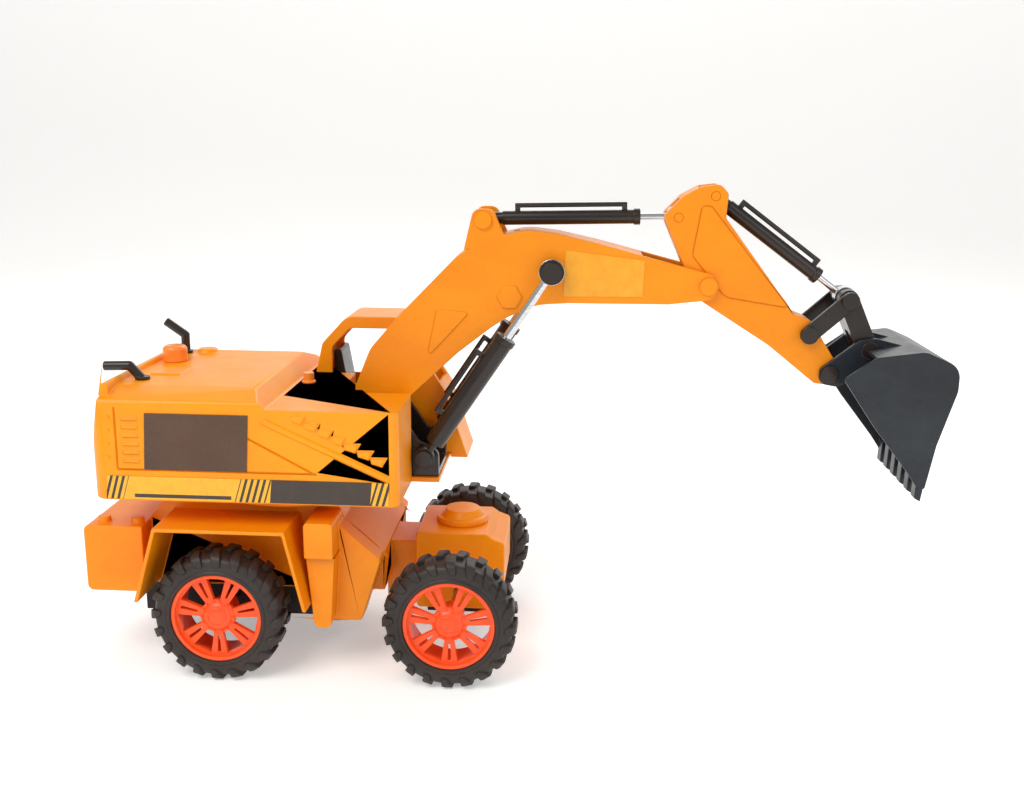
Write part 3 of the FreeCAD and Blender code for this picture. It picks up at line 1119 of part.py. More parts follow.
BUCKET_OUTLINE = [bucket_point(*point) for point in (
    (227, 143.5, "2"), (241, 153.6), (262, 156.5, "8"), (277.3, 150, "8"), (277.3, 139, "10"), (270.2,
                                                                                                114), (266.8,
                                                                                                       94),
    (264, 93), (258.5, 101), (241.7, 122.3))]
BUCKET_ROOM = [bucket_point(*point) for point in (
    (210, 150), (237, 165), (241, 151.8), (262, 154.6, "7"), (275.4, 148.8, "7"), (275.4, 139.3, "8"), (268.3,
                                                                                                        114.3),
    (264.6, 93.5), (263, 85), (240, 90))]


def bucket():
    """Open scoop with side plates, ears around the arm's end, a lip and six teeth."""
    shell = cut(plate("xz", BUCKET_OUTLINE, opposite_span("bucket_half")),
                plate("xz", BUCKET_ROOM, opposite_span("bucket_half - bucket_wall")))
    arm_room = plate("xz",
                     [bucket_point(*corner) for corner in ((210, 125), (249, 125), (249, 160), (210, 160))],
                     opposite_span("ear_half + 2"))
    solids = [cut(shell, arm_room)]
    ear = [bucket_point(*point) for point in ((220.6, 137, "4"), (229, 135.5, "4"), (256, 149), (258, 155.5),
                                              (245, 158.6, "4"), (238, 157.8, "4"), (220.7, 143.8, "3.5"))]
    for name, span in sides():
        solids.append(plate("xz", ear, span(EAR_IN, "ear_half"), [(BUCKET_X, BUCKET_Z, "pin_radius"),
                                                                  (LINK_X, LINK_Z, "pin_radius")]))
    pitch = "(bucket_half - 3.5) / 2.5"
    for index in range(6):
        middle = f"({index - 2.5}) * {pitch}"
        tooth = [bucket_point(*point) for point in ((263, 100), (266.9, 99), (265.4, 87.5), (262.6, 89))]
        solids.append(plate("xz", tooth, (f"{middle} - 3", f"{middle} + 3")))
    return fuse(*solids)


place(bucket(), "bucket")
place(fuse(pivot_pin(LINK_END, "ear_half"), pivot_pin((BUCKET_X, BUCKET_Z), "ear_half")), "bucket_pins")

# ---------------------------------------------------------------- checks and files
doc.recompute()
faults = [f"{piece.Label}: {piece.getStatusString()}" for piece in doc.Objects
          if "Invalid" in piece.State or "Error" in piece.State]
for piece in NODES:
    if piece.Shape.isNull() or not piece.Shape.isValid():
        faults.append(f"{piece.Label}: empty or invalid shape")
if faults:
    raise SystemExit("part.py: " + "; ".join(faults))
os.makedirs("parts", exist_ok=True)
for piece in NODES:
    piece.Shape.exportStep(f"parts/{piece.Label}.step")
print(len(NODES), "sub-parts")
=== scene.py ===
import json
import math
import bmesh
import bpy
from mathutils import Matrix, Vector


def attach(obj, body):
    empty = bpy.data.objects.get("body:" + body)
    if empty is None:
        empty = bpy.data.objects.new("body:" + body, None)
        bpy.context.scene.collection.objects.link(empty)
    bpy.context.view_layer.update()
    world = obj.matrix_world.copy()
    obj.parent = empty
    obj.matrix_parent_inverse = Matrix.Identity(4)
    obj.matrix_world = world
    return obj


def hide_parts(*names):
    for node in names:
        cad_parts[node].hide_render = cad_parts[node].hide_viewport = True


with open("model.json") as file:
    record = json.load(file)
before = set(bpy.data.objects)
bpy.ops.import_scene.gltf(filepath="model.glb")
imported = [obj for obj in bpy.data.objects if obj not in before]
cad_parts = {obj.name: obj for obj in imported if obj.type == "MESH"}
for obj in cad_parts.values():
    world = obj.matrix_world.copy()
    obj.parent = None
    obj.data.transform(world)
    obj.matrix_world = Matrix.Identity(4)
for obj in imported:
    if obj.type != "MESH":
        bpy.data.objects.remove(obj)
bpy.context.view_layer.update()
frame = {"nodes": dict(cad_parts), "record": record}  # frame["bodies"], ["nodes"], ["joints"], ["record"]

MM = 0.001
WHEELBASE_MID = -78.5          # row x of the middle of the wheelbase, mm
SLEW_X = -28.0                 # slewing axis, mm from the middle of the wheelbase
TAU = 2 * math.pi


def at(x, y, z):
    """A point given in mm from the ground under the middle of the wheelbase."""
    return Vector(((x + WHEELBASE_MID) * MM, y * MM, z * MM))


# ---------------------------------------------------------------- finishes

def tone(red, green, blue):
    """Linear colour of a 0-255 display colour."""
    def linear(value):
        value /= 255
        return value / 12.92 if value <= 0.04045 else ((value + 0.055) / 1.055) ** 2.4
    return (linear(red), linear(green), linear(blue), 1.0)


class Recipe:
    """One node material, built step by step."""

    def __init__(self, name):
        self.material = bpy.data.materials.new(name)
        self.material.use_nodes = True
        self.tree = self.material.node_tree
        self.shader = self.tree.nodes["Principled BSDF"]
        self.place = self.add("ShaderNodeTexCoord").outputs["Object"]

    def add(self, kind, **settings):
        node = self.tree.nodes.new(kind)
        for key, value in settings.items():
            setattr(node, key, value)
        return node

    def feed(self, socket, value):
        if isinstance(value, bpy.types.NodeSocket):
            self.tree.links.new(value, socket)
        else:
            socket.default_value = value

    def stretched(self, scale):
        mapping = self.add("ShaderNodeMapping")
        self.feed(mapping.inputs["Vector"], self.place)
        mapping.inputs["Scale"].default_value = scale
        return mapping.outputs["Vector"]

    def noise(self, scale, detail=3.0, rough=0.5, where=None):
        node = self.add("ShaderNodeTexNoise")
        self.feed(node.inputs["Vector"], where or self.place)
        node.inputs["Scale"].default_value = scale
        node.inputs["Detail"].default_value = detail
        node.inputs["Roughness"].default_value = rough
        return node.outputs["Fac"]

    def spread(self, value, low, high, to_low, to_high):
        node = self.add("ShaderNodeMapRange")
        self.feed(node.inputs["Value"], value)
        for key, number in zip(("From Min", "From Max", "To Min", "To Max"),
                               (low, high, to_low, to_high)):
            node.inputs[key].default_value = number
        return node.outputs["Result"]

    def maths(self, operation, first, second=0.0):
        node = self.add("ShaderNodeMath", operation=operation)
        self.feed(node.inputs[0], first)
        self.feed(node.inputs[1], second)
        return node.outputs["Value"]

    def blend(self, amount, first, second):
        node = self.add("ShaderNodeMix", data_type="RGBA")
        self.feed(node.inputs["Factor"], amount)
        self.feed(node.inputs["A"], first)
        self.feed(node.inputs["B"], second)
        return node.outputs["Result"]

    def bump(self, height, strength, distance):
        node = self.add("ShaderNodeBump")
        node.inputs["Strength"].default_value = strength
        node.inputs["Distance"].default_value = distance
        self.feed(node.inputs["Height"], height)
        self.feed(self.shader.inputs["Normal"], node.outputs["Normal"])

    def split(self):
        node = self.add("ShaderNodeSeparateXYZ")
        self.feed(node.inputs["Vector"], self.place)
        return node.outputs["X"], node.outputs["Y"], node.outputs["Z"]

    def set(self, **values):
        for key, value in values.items():
            self.feed(self.shader.inputs[key.replace("_", " ")], value)
        return self


def moulded(name, bright, deep, gloss=(0.30, 0.44), coat=0.06, grain=0.12, grain_scale=2600):
    """Moulded plastic: faint flow marks, a fine grain, and rubbed patches with another gloss."""
    recipe = Recipe(name)
    flow = recipe.noise(24, 4, 0.6, recipe.stretched((1.0, 1.0, 1.7)))
    mottle = recipe.noise(420, 2, 0.6)
    amount = recipe.maths("ADD", recipe.spread(flow, 0.35, 0.68, 0.0, 0.8),
                          recipe.spread(mottle, 0.3, 0.75, 0.0, 0.25))
    colour = recipe.blend(amount, bright, deep)
    hand_marks = recipe.noise(60, 6, 0.65)
    recipe.set(Base_Color=colour,
               Roughness=recipe.spread(hand_marks, 0.3, 0.72, gloss[0], gloss[1]),
               Specular_IOR_Level=0.3, Coat_Weight=coat, Coat_Roughness=0.12)
    fine = recipe.noise(grain_scale, 2, 0.5)
    swell = recipe.noise(75, 2, 0.4)
    recipe.bump(recipe.maths("ADD", fine, recipe.maths("MULTIPLY", swell, 1.6)), grain, 0.0002)
    return recipe


def plated(name, colour, stretch, rough):
    """Bright metal with fine drawing marks along one way."""
    recipe = Recipe(name)
    marks = recipe.noise(900, 3, 0.6, recipe.stretched(stretch))
    recipe.set(Base_Color=recipe.blend(recipe.spread(marks, 0.3, 0.7, 0.0, 1.0), colour,
                                       tuple(0.72 * c for c in colour[:3]) + (1.0,)),
               Metallic=1.0, Roughness=recipe.spread(marks, 0.3, 0.7, rough, rough + 0.14))
    recipe.bump(marks, 0.08, 0.0001)
    return recipe


FINISH = {}
FINISH["casing"] = moulded("yellow casing plastic", tone(252, 158, 8), tone(246, 144, 4)).material
FINISH["hull"] = moulded("yellow hull plastic", tone(248, 150, 8), tone(238, 134, 3)).material
FINISH["boom"] = moulded("orange boom plastic", tone(244, 146, 7), tone(234, 132, 3),
                         gloss=(0.32, 0.46)).material
FINISH["black"] = moulded("black jack plastic", tone(46, 36, 30), tone(30, 24, 21),
                          gloss=(0.24, 0.4), coat=0.3, grain=0.2).material
FINISH["base"] = moulded("black base plastic", tone(42, 36, 32), tone(26, 23, 22),
                         gloss=(0.42, 0.6), coat=0.0, grain=0.3, grain_scale=1500).material
FINISH["bucket"] = moulded("dark bucket plastic", tone(40, 46, 52), tone(24, 28, 34),
                           gloss=(0.30, 0.48), coat=0.2, grain=0.25, grain_scale=1700).material
FINISH["tyre"] = moulded("tyre plastic", tone(58, 51, 48), tone(40, 35, 33),
                         gloss=(0.44, 0.62), coat=0.1, grain=0.35, grain_scale=1200).material
FINISH["rim"] = moulded("red rim plastic", tone(252, 92, 34), tone(240, 74, 22),
                        gloss=(0.28, 0.42), coat=0.25).material
FINISH["white"] = moulded("white gear plastic", tone(232, 230, 222), tone(214, 210, 200)).material
FINISH["green"] = moulded("green board", tone(40, 110, 62), tone(26, 84, 46),
                          gloss=(0.3, 0.5), grain=0.3).material
FINISH["cell"] = moulded("cell sleeve", tone(70, 74, 80), tone(50, 54, 60), gloss=(0.2, 0.3)).material
FINISH["rod"] = plated("plated jack rod", tone(226, 228, 232), (0.05, 1.0, 1.0), 0.09).material
FINISH["steel"] = plated("axle steel", tone(186, 188, 192), (1.0, 0.08, 1.0), 0.24).material
FINISH["brass"] = plated("contact brass", tone(214, 178, 96), (1.0, 1.0, 0.2), 0.25).material


def window_film():
    """Dark smoked film with a soft sheen and a few fingertip smudges."""
    recipe = Recipe("dark window film")
    smudge = recipe.noise(55, 5, 0.7)
    tint = recipe.noise(14, 2, 0.5)
    colour = recipe.blend(recipe.spread(tint, 0.35, 0.65, 0.0, 1.0), tone(84, 50, 20), tone(62, 37, 15))
    recipe.set(Base_Color=colour, Roughness=recipe.spread(smudge, 0.35, 0.7, 0.2, 0.46),
               Coat_Weight=0.2, Coat_Roughness=0.08)
    recipe.bump(recipe.noise(900, 2, 0.5), 0.06, 0.0001)
    return recipe.material


FINISH["film"] = window_film()


def metres(x):
    """Row x in metres of an x in mm from the middle of the wheelbase."""
    return (x + WHEELBASE_MID) * MM


def inside(recipe, value, low, high):
    """1 where value lies between low and high, else 0."""
    above = recipe.maths("GREATER_THAN", value, low)
    below = recipe.maths("LESS_THAN", value, high)
    return recipe.maths("MULTIPLY", above, below)


STRIPE_LEAN = 0.3                # sideways run of a stripe for each unit of height
BAND_LEAN = 0.1                  # the same for the dark band's ends
STRIPE_PITCH = 0.0028            # m from one stripe to the next
STRIPE_SHARE = 0.45              # dark share of a pitch
LABEL_MIDDLE = 0.0915            # m above the ground
STRIPE_GROUPS = ((-103.6, -92.4), (-41.5, -27.6), (19.6, 26.4))
DARK_BAND = (-26.5, 18.7)
UNDERLINE, UNDERLINE_HEIGHTS = (-88.7, -44.5), (0.0872, 0.0889)


def hazard_label():
    """Yellow side label with slanted dark stripes, a plain dark band and an underline."""
    recipe = Recipe("striped side label")
    x, _, z = recipe.split()
    above_middle = recipe.maths("SUBTRACT", z, LABEL_MIDDLE)
    across = recipe.maths("SUBTRACT", x, recipe.maths("MULTIPLY", above_middle, STRIPE_LEAN))
    upright = recipe.maths("SUBTRACT", x, recipe.maths("MULTIPLY", above_middle, BAND_LEAN))
    phase = recipe.maths("FRACT", recipe.maths("DIVIDE", recipe.maths("ADD", across, 1.0), STRIPE_PITCH))
    ribbon = recipe.maths("LESS_THAN", phase, STRIPE_SHARE)
    bar = recipe.maths("MULTIPLY", inside(recipe, x, *map(metres, UNDERLINE)),
                       inside(recipe, z, *UNDERLINE_HEIGHTS))
    dark = recipe.maths("MAXIMUM", inside(recipe, upright, *map(metres, DARK_BAND)), bar)
    for group in STRIPE_GROUPS:
        stripes = recipe.maths("MULTIPLY", ribbon, inside(recipe, across, *map(metres, group)))
        dark = recipe.maths("MAXIMUM", dark, stripes)
    wear = recipe.noise(300, 3, 0.6)
    yellow = recipe.blend(recipe.spread(wear, 0.3, 0.7, 0.0, 1.0), tone(244, 182, 18), tone(234, 166, 10))
    ink = recipe.blend(recipe.spread(wear, 0.3, 0.7, 0.0, 1.0), tone(56, 38, 24), tone(42, 29, 18))
    recipe.set(Base_Color=recipe.blend(dark, yellow, ink),
               Roughness=recipe.spread(recipe.noise(70, 4, 0.6), 0.3, 0.7, 0.22, 0.4),
               Coat_Weight=0.3, Coat_Roughness=0.1)
    recipe.bump(recipe.noise(1100, 2, 0.5), 0.05, 0.0001)
    return recipe.material


def boom_label():
    """Plain yellow label of the boom."""
    recipe = Recipe("yellow boom label")
    wear = recipe.noise(260, 4, 0.6)
    recipe.set(Base_Color=recipe.blend(recipe.spread(wear, 0.3, 0.7, 0.0, 1.0),
                                       tone(240, 166, 18), tone(232, 152, 12)),
               Roughness=recipe.spread(recipe.noise(60, 4, 0.6), 0.3, 0.7, 0.22, 0.4),
               Coat_Weight=0.3, Coat_Roughness=0.1)
    recipe.bump(recipe.noise(1000, 2, 0.5), 0.05, 0.0001)
    return recipe.material


FINISH["side label"] = hazard_label()
FINISH["boom label"] = boom_label()

FINISH["cap"] = moulded("orange cap plastic", tone(255, 150, 60), tone(250, 132, 36),
                        gloss=(0.25, 0.38), coat=0.3).material

BODY_OF = {node: body for body, nodes in frame["record"]["behaviour"]["bodies"].items()
           for node in nodes}


# ---------------------------------------------------------------- making pieces

SHARP_FROM = 33                  # degrees between two faces from which their edge is rounded


def smooth(mesh, angle=34):
    """Smooth shading, broken at edges sharper than angle in degrees."""
    mesh.polygons.foreach_set("use_smooth", [True] * len(mesh.polygons))
    mesh.set_sharp_from_angle(angle=math.radians(angle))


def settle(name, mesh, finish, body, stands_for=()):
    """Links a finished mesh as a piece of the toy and lets it ride on its body."""
    mesh.materials.clear()
    mesh.materials.append(FINISH[finish])
    piece = bpy.data.objects.new(name, mesh)
    bpy.context.scene.collection.objects.link(piece)
    even = piece.modifiers.new("even faces", "WEIGHTED_NORMAL")
    even.keep_sharp = True
    even.weight = 60
    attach(piece, body)
    if stands_for:
        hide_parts(*stands_for)
    return piece


def softened(node, finish, width):
    """A copy of a CAD node with its sharp edges rounded by width in mm, standing for that node.

    Known fault: on hood_casing the bevel folds faces over, which shows as black patches, and the
    boom halves come out with a few edges shared by more than two faces. The CAD meshes are sound.
    """
    shape = bmesh.new()
    shape.from_mesh(frame["nodes"][node].data)
    bmesh.ops.remove_doubles(shape, verts=shape.verts, dist=2e-6)
    bmesh.ops.dissolve_limit(shape, angle_limit=math.radians(0.8), verts=shape.verts,
                             edges=shape.edges, use_dissolve_boundaries=False)
    edges = [edge for edge in shape.edges
             if len(edge.link_faces) == 2
             and edge.calc_face_angle(0.0) > math.radians(SHARP_FROM)]
    bmesh.ops.bevel(shape, geom=edges, offset=width * MM, offset_type="OFFSET",
                    segments=2, profile=0.5, affect="EDGES", clamp_overlap=False)
    mesh = bpy.data.meshes.new(node + "_soft")
    shape.to_mesh(mesh)
    shape.free()
    smooth(mesh)
    return settle(node + "_soft", mesh, finish, BODY_OF[node], [node])


def new_tree(name, inputs):
    """An empty node tree for repeats: geometry in, named sizes in, geometry out."""
    tree = bpy.data.node_groups.new(name, "GeometryNodeTree")
    tree.interface.new_socket("Geometry", in_out="INPUT", socket_type="NodeSocketGeometry")
    for label, kind in inputs:
        tree.interface.new_socket(label, in_out="INPUT", socket_type=kind)
    tree.interface.new_socket("Geometry", in_out="OUTPUT", socket_type="NodeSocketGeometry")
    return tree, tree.nodes.new("NodeGroupInput"), tree.nodes.new("NodeGroupOutput")


def close_tree(tree, entry, leave, copies):
    """Makes the copies real and gives them the finish."""
    real = tree.nodes.new("GeometryNodeRealizeInstances")
    paint = tree.nodes.new("GeometryNodeSetMaterial")
    tree.links.new(copies, real.inputs["Geometry"])
    tree.links.new(real.outputs["Geometry"], paint.inputs["Geometry"])
    tree.links.new(entry.outputs["Finish"], paint.inputs["Material"])
    tree.links.new(paint.outputs["Geometry"], leave.inputs["Geometry"])
    return tree


def ring_tree():
    """Copies of the incoming shape, turned evenly about the Y axis through the origin."""
    tree, entry, leave = new_tree("ring of copies", (("Copies", "NodeSocketInt"),
                                                     ("Finish", "NodeSocketMaterial")))
    points = tree.nodes.new("GeometryNodePoints")
    number = tree.nodes.new("GeometryNodeInputIndex")
    step = tree.nodes.new("ShaderNodeMath")
    step.operation = "DIVIDE"
    step.inputs[0].default_value = TAU
    turn = tree.nodes.new("ShaderNodeMath")
    turn.operation = "MULTIPLY"
    angles = tree.nodes.new("ShaderNodeCombineXYZ")
    copies = tree.nodes.new("GeometryNodeInstanceOnPoints")
    tree.links.new(entry.outputs["Copies"], points.inputs["Count"])
    tree.links.new(entry.outputs["Copies"], step.inputs[1])
    tree.links.new(step.outputs[0], turn.inputs[0])
    tree.links.new(number.outputs["Index"], turn.inputs[1])
    tree.links.new(turn.outputs[0], angles.inputs["Y"])
    tree.links.new(points.outputs[0], copies.inputs["Points"])
    tree.links.new(entry.outputs["Geometry"], copies.inputs["Instance"])
    tree.links.new(angles.outputs[0], copies.inputs["Rotation"])
    return close_tree(tree, entry, leave, copies.outputs["Instances"])


def row_tree():
    """Copies of the incoming shape along a straight line."""
    tree, entry, leave = new_tree("row of copies", (("Copies", "NodeSocketInt"),
                                                    ("Step", "NodeSocketVector"),
                                                    ("Finish", "NodeSocketMaterial")))
    line = tree.nodes.new("GeometryNodeMeshLine")
    copies = tree.nodes.new("GeometryNodeInstanceOnPoints")
    tree.links.new(entry.outputs["Copies"], line.inputs["Count"])
    tree.links.new(entry.outputs["Step"], line.inputs["Offset"])
    tree.links.new(line.outputs["Mesh"], copies.inputs["Points"])
    tree.links.new(entry.outputs["Geometry"], copies.inputs["Instance"])
    return close_tree(tree, entry, leave, copies.outputs["Instances"])


RING, ROW = ring_tree(), row_tree()


def repeated(tree, shape, finish, **values):
    """Runs a tree of repeats on a shape and returns the plain mesh of all copies."""
    mesh = bpy.data.meshes.new("one_copy")
    shape.to_mesh(mesh)
    shape.free()
    holder = bpy.data.objects.new("copies", mesh)
    bpy.context.scene.collection.objects.link(holder)
    modifier = holder.modifiers.new("repeats", "NODES")
    modifier.node_group = tree
    values["Finish"] = FINISH[finish]
    for item in tree.interface.items_tree:
        if item.in_out == "INPUT" and item.name in values:
            modifier[item.identifier] = values[item.name]
    holder.update_tag()
    bpy.context.view_layer.update()
    ready = holder.evaluated_get(bpy.context.evaluated_depsgraph_get())
    made = bpy.data.meshes.new_from_object(ready)
    bpy.data.objects.remove(holder)
    return made


def put(target, mesh, matrix=Matrix.Identity(4)):
    """Adds a mesh to a bmesh, moved or mirrored by the matrix, with its faces outwards."""
    mesh = mesh.copy()
    mesh.transform(matrix)
    if matrix.determinant() < 0:
        mesh.flip_normals()
    target.from_mesh(mesh)
    bpy.data.meshes.remove(mesh)


def lathe(profile, steps=96):
    """A closed outline of (radius, y) in mm, turned about the Y axis."""
    shape = bmesh.new()
    rings = []
    for index in range(steps):
        angle = TAU * index / steps
        rings.append([shape.verts.new((radius * MM * math.sin(angle), along * MM,
                                       radius * MM * math.cos(angle)))
                      for radius, along in profile])
    for index, ring in enumerate(rings):
        other = rings[(index + 1) % steps]
        for k in range(len(profile)):
            after = (k + 1) % len(profile)
            shape.faces.new((ring[k], ring[after], other[after], other[k]))
    bmesh.ops.remove_doubles(shape, verts=shape.verts, dist=1e-7)
    bmesh.ops.recalc_face_normals(shape, faces=shape.faces)
    return shape


def disc(radius, low, high, centre=(0.0, 0.0), sides=20, soften=0.12):
    """A short round boss along Y with a softened outer rim; centre is (x, z) in mm."""
    shape = bmesh.new()
    outline = [(0.0001, high), (radius - soften, high), (radius - soften * 0.3, high - soften * 0.3),
               (radius, high - soften), (radius, low), (0.0001, low)]
    rings = []
    for index in range(sides):
        angle = TAU * index / sides
        rings.append([shape.verts.new(((centre[0] + r * math.sin(angle)) * MM, y * MM,
                                       (centre[1] + r * math.cos(angle)) * MM)) for r, y in outline])
    for index, ring in enumerate(rings):
        other = rings[(index + 1) % sides]
        for k in range(len(outline) - 1):
            shape.faces.new((ring[k], ring[k + 1], other[k + 1], other[k]))
    bmesh.ops.remove_doubles(shape, verts=shape.verts, dist=1e-6)
    bmesh.ops.recalc_face_normals(shape, faces=shape.faces)
    return shape


def joined(*shapes):
    """One bmesh out of several."""
    first = shapes[0]
    for shape in shapes[1:]:
        mesh = bpy.data.meshes.new("part")
        shape.to_mesh(mesh)
        shape.free()
        first.from_mesh(mesh)
        bpy.data.meshes.remove(mesh)
    return first


# ---------------------------------------------------------------- wheels

TYRE_INNER_FACE = 41.0           # mm from the toy's middle to a tyre's inner face
TYRE_WIDTH = 21.0
AXLES = {"rear": -53.5, "front": 53.5}
AXLE_HEIGHT = 31.0
LUGS = 20


def tread_lug(mirrored):
    """One shoulder lug that runs over the edge of the tread and down the side wall."""
    # each station: mm from the tyre's inner face, top and foot radius, lean and half width in degrees
    stations = ((10.2, 31.0, 28.4, -1.0, 3.3), (15.0, 31.0, 28.4, 0.0, 3.9), (18.2, 30.75, 28.0, 1.2, 4.6),
                (20.0, 29.6, 27.2, 2.4, 4.6), (20.75, 27.6, 26.4, 3.6, 3.8), (20.95, 25.7, 25.2, 4.6, 2.4))
    shape = bmesh.new()
    rows = []
    for along, top, foot, lean, half in stations:
        sunk = along - 0.9 if along > 19 else along
        across = TYRE_WIDTH - along if mirrored else along
        below = TYRE_WIDTH - sunk if mirrored else sunk
        turn = 180.0 / LUGS if mirrored else 0.0
        row = []
        for radius, side, y in ((foot, -1, below), (top, -1, across), (top, 1, across), (foot, 1, below)):
            narrowing = 0.9 if radius == top else 1.0
            angle = math.radians(turn + lean + side * half * narrowing)
            row.append(shape.verts.new((radius * MM * math.sin(angle), y * MM,
                                        radius * MM * math.cos(angle))))
        rows.append(row)
    for first, second in zip(rows, rows[1:]):
        for k in range(4):
            shape.faces.new((first[k], first[(k + 1) % 4], second[(k + 1) % 4], second[k]))
    shape.faces.new(rows[0])
    shape.faces.new(rows[-1])
    bmesh.ops.recalc_face_normals(shape, faces=shape.faces)
    sharp = [edge for edge in shape.edges if edge.calc_face_angle(0.0) > math.radians(40)]
    bmesh.ops.bevel(shape, geom=sharp, offset=0.35 * MM, offset_type="OFFSET", segments=2,
                    profile=0.5, affect="EDGES", clamp_overlap=True)
    return shape


def one_tyre():
    """The lathed carcass with its two rings of shoulder lugs; outline as (radius, mm across)."""
    half = [(21.06, 10.5), (21.06, 19.6), (21.5, 20.3), (22.2, 20.55), (22.8, 20.3), (23.1, 19.95),
            (23.6, 20.15), (25.0, 20.2), (27.0, 19.7), (28.3, 18.9), (29.0, 17.6), (29.2, 15.5),
            (29.2, 10.5)]
    profile = half + [(radius, TYRE_WIDTH - along) for radius, along in reversed(half[1:-1])]
    shape = lathe(profile)
    for mirrored in (False, True):
        put(shape, repeated(RING, tread_lug(mirrored), "tyre", Copies=LUGS))
    mesh = bpy.data.meshes.new("one_tyre")
    shape.to_mesh(mesh)
    shape.free()
    return mesh


def both_sides(end, mesh):
    """The mesh of one wheel set on the left of an axle, and mirrored on its right."""
    shape = bmesh.new()
    place = Matrix.Translation(at(AXLES[end], TYRE_INNER_FACE, AXLE_HEIGHT))
    flip = Matrix.Diagonal((1.0, -1.0, 1.0, 1.0))
    put(shape, mesh, place)
    put(shape, mesh, flip @ place)
    made = bpy.data.meshes.new(mesh.name + "_pair")
    shape.to_mesh(made)
    shape.free()
    return made


def hub_trim():
    """Wheel studs between the spokes, the hub cap's ring and its small raised circles."""
    web, cap = 17.1, 18.4        # mm from the tyre's inner face to the faces of the rim's web and hub
    stud_ring, spread = 7.5, 11.0
    shape = bmesh.new()
    pair = []
    for lean in (-spread, spread):
        angle = math.radians(lean)
        spot = (stud_ring * math.sin(angle), stud_ring * math.cos(angle))
        pair.append(disc(0.62, web - 0.3, web + 0.75, spot, 14, 0.2))
    put(shape, repeated(RING, joined(*pair), "rim", Copies=7))
    put(shape, repeated(RING, disc(0.55, cap - 0.2, cap + 0.34, (0.0, 1.9), 14, 0.1), "rim", Copies=5))
    ring = lathe([(3.9, cap - 0.2), (3.9, cap + 0.25), (4.1, cap + 0.42), (4.4, cap + 0.42),
                  (4.6, cap + 0.25), (4.6, cap - 0.2)], 48)
    middle = disc(3.2, cap - 0.2, cap + 0.22, (0.0, 0.0), 40, 0.15)
    mesh = bpy.data.meshes.new("hub_trim")
    joined(ring, middle).to_mesh(mesh)
    put(shape, mesh)
    trim = bpy.data.meshes.new("hub_trim")
    shape.to_mesh(trim)
    shape.free()
    return trim


TYRE, TRIM = one_tyre(), hub_trim()
for end in AXLES:
    tyres = both_sides(end, TYRE)
    smooth(tyres, 38)
    settle(f"{end}_tyres_lugged", tyres, "tyre", f"{end}_wheels", [f"{end}_tyres"])
    trims = both_sides(end, TRIM)
    smooth(trims, 38)
    settle(f"{end}_hub_trim", trims, "rim", f"{end}_wheels")

# ---------------------------------------------------------------- small trim of the casing

CASING_SIDE = 57.0               # mm from the toy's middle to the casing's side
RIVET_STEP = (-0.0003, 0.0, -0.0062)             # m
TOP_RIVET_X, TOP_RIVET_HEIGHT = -98.8, 124.2     # mm
for side, way in (("right", -1), ("left", 1)):
    rivet = disc(0.75, 0.0, 0.55, (0.0, 0.0), 14, 0.3)
    if way < 0:
        bmesh.ops.scale(rivet, verts=rivet.verts, vec=(1, -1, 1))
        bmesh.ops.recalc_face_normals(rivet, faces=rivet.faces)
    row = repeated(ROW, rivet, "casing", Copies=4, Step=RIVET_STEP)
    row.transform(Matrix.Translation(at(TOP_RIVET_X, way * (CASING_SIDE - 0.1), TOP_RIVET_HEIGHT)))
    smooth(row, 40)
    settle(f"{side}_rivets", row, "casing", "upper")


# ---------------------------------------------------------------- CAD pieces and their finishes

SOFTENED = {                     # node: finish, rounding in mm
    "chassis_shell": ("hull", 0.6), "chassis_base": ("base", 0.4), "battery_door": ("base", 0.3),
    "front_axle_housing": ("hull", 0.7), "front_dome_cap": ("hull", 0.5), "front_keel": ("base", 0.4),
    "switch_housing": ("base", 0.2), "power_switch": ("black", 0.2), "chassis_screws": ("steel", 0.15),
    "upper_floor": ("hull", 0.4), "hood_casing": ("casing", 0.55), "roof_beacon": ("cap", 0.5),
    "roof_knob": ("cap", 0.3), "exhaust_pipes": ("black", 0.3), "cab_shell": ("casing", 0.5),
    "cab_seat": ("black", 0.5), "cab_console": ("black", 0.3), "boom_bracket": ("black", 0.4),
    "boom_foot_pin": ("boom", 0.3), "jack_foot_pin": ("black", 0.3),
    "boom_half_right": ("boom", 0.5), "boom_half_left": ("boom", 0.5),
    "arm_pivot_pin": ("boom", 0.3), "arm_jack_foot_pin": ("boom", 0.3), "ball_studs": ("black", 0.2),
    "boom_jack_barrels": ("black", 0.3), "arm_half_right": ("boom", 0.5),
    "arm_half_left": ("boom", 0.5), "arm_head_pins": ("boom", 0.3), "rocker_pin": ("black", 0.3),
    "arm_jack_barrel": ("black", 0.3), "bucket_jack_barrel": ("black", 0.3),
    "rocker_lever": ("black", 0.4), "rocker_top_pin": ("black", 0.3), "bucket_link": ("black", 0.4),
    "bucket": ("bucket", 0.35), "bucket_pins": ("black", 0.3),
    "rear_rims": ("rim", 0.25), "front_rims": ("rim", 0.25),
}
for node, (finish, width) in SOFTENED.items():
    softened(node, finish, width)


BALL_STUD = (96.3, 0.0, 187.4)   # middle of the ball studs, mm
EYE_REACH = 5.4                  # mm from that middle to the end of the black eye


def dark_ball_eyes():
    """The boom jacks' plated rods end in black eyes round the ball studs."""
    rods = softened("boom_jack_rods", "rod", 0.2)
    rods.data.materials.append(FINISH["black"])
    ball = at(*BALL_STUD)
    reach = EYE_REACH * MM
    for face in rods.data.polygons:
        if math.hypot(face.center.x - ball.x, face.center.z - ball.z) < reach:
            face.material_index = 1


dark_ball_eyes()

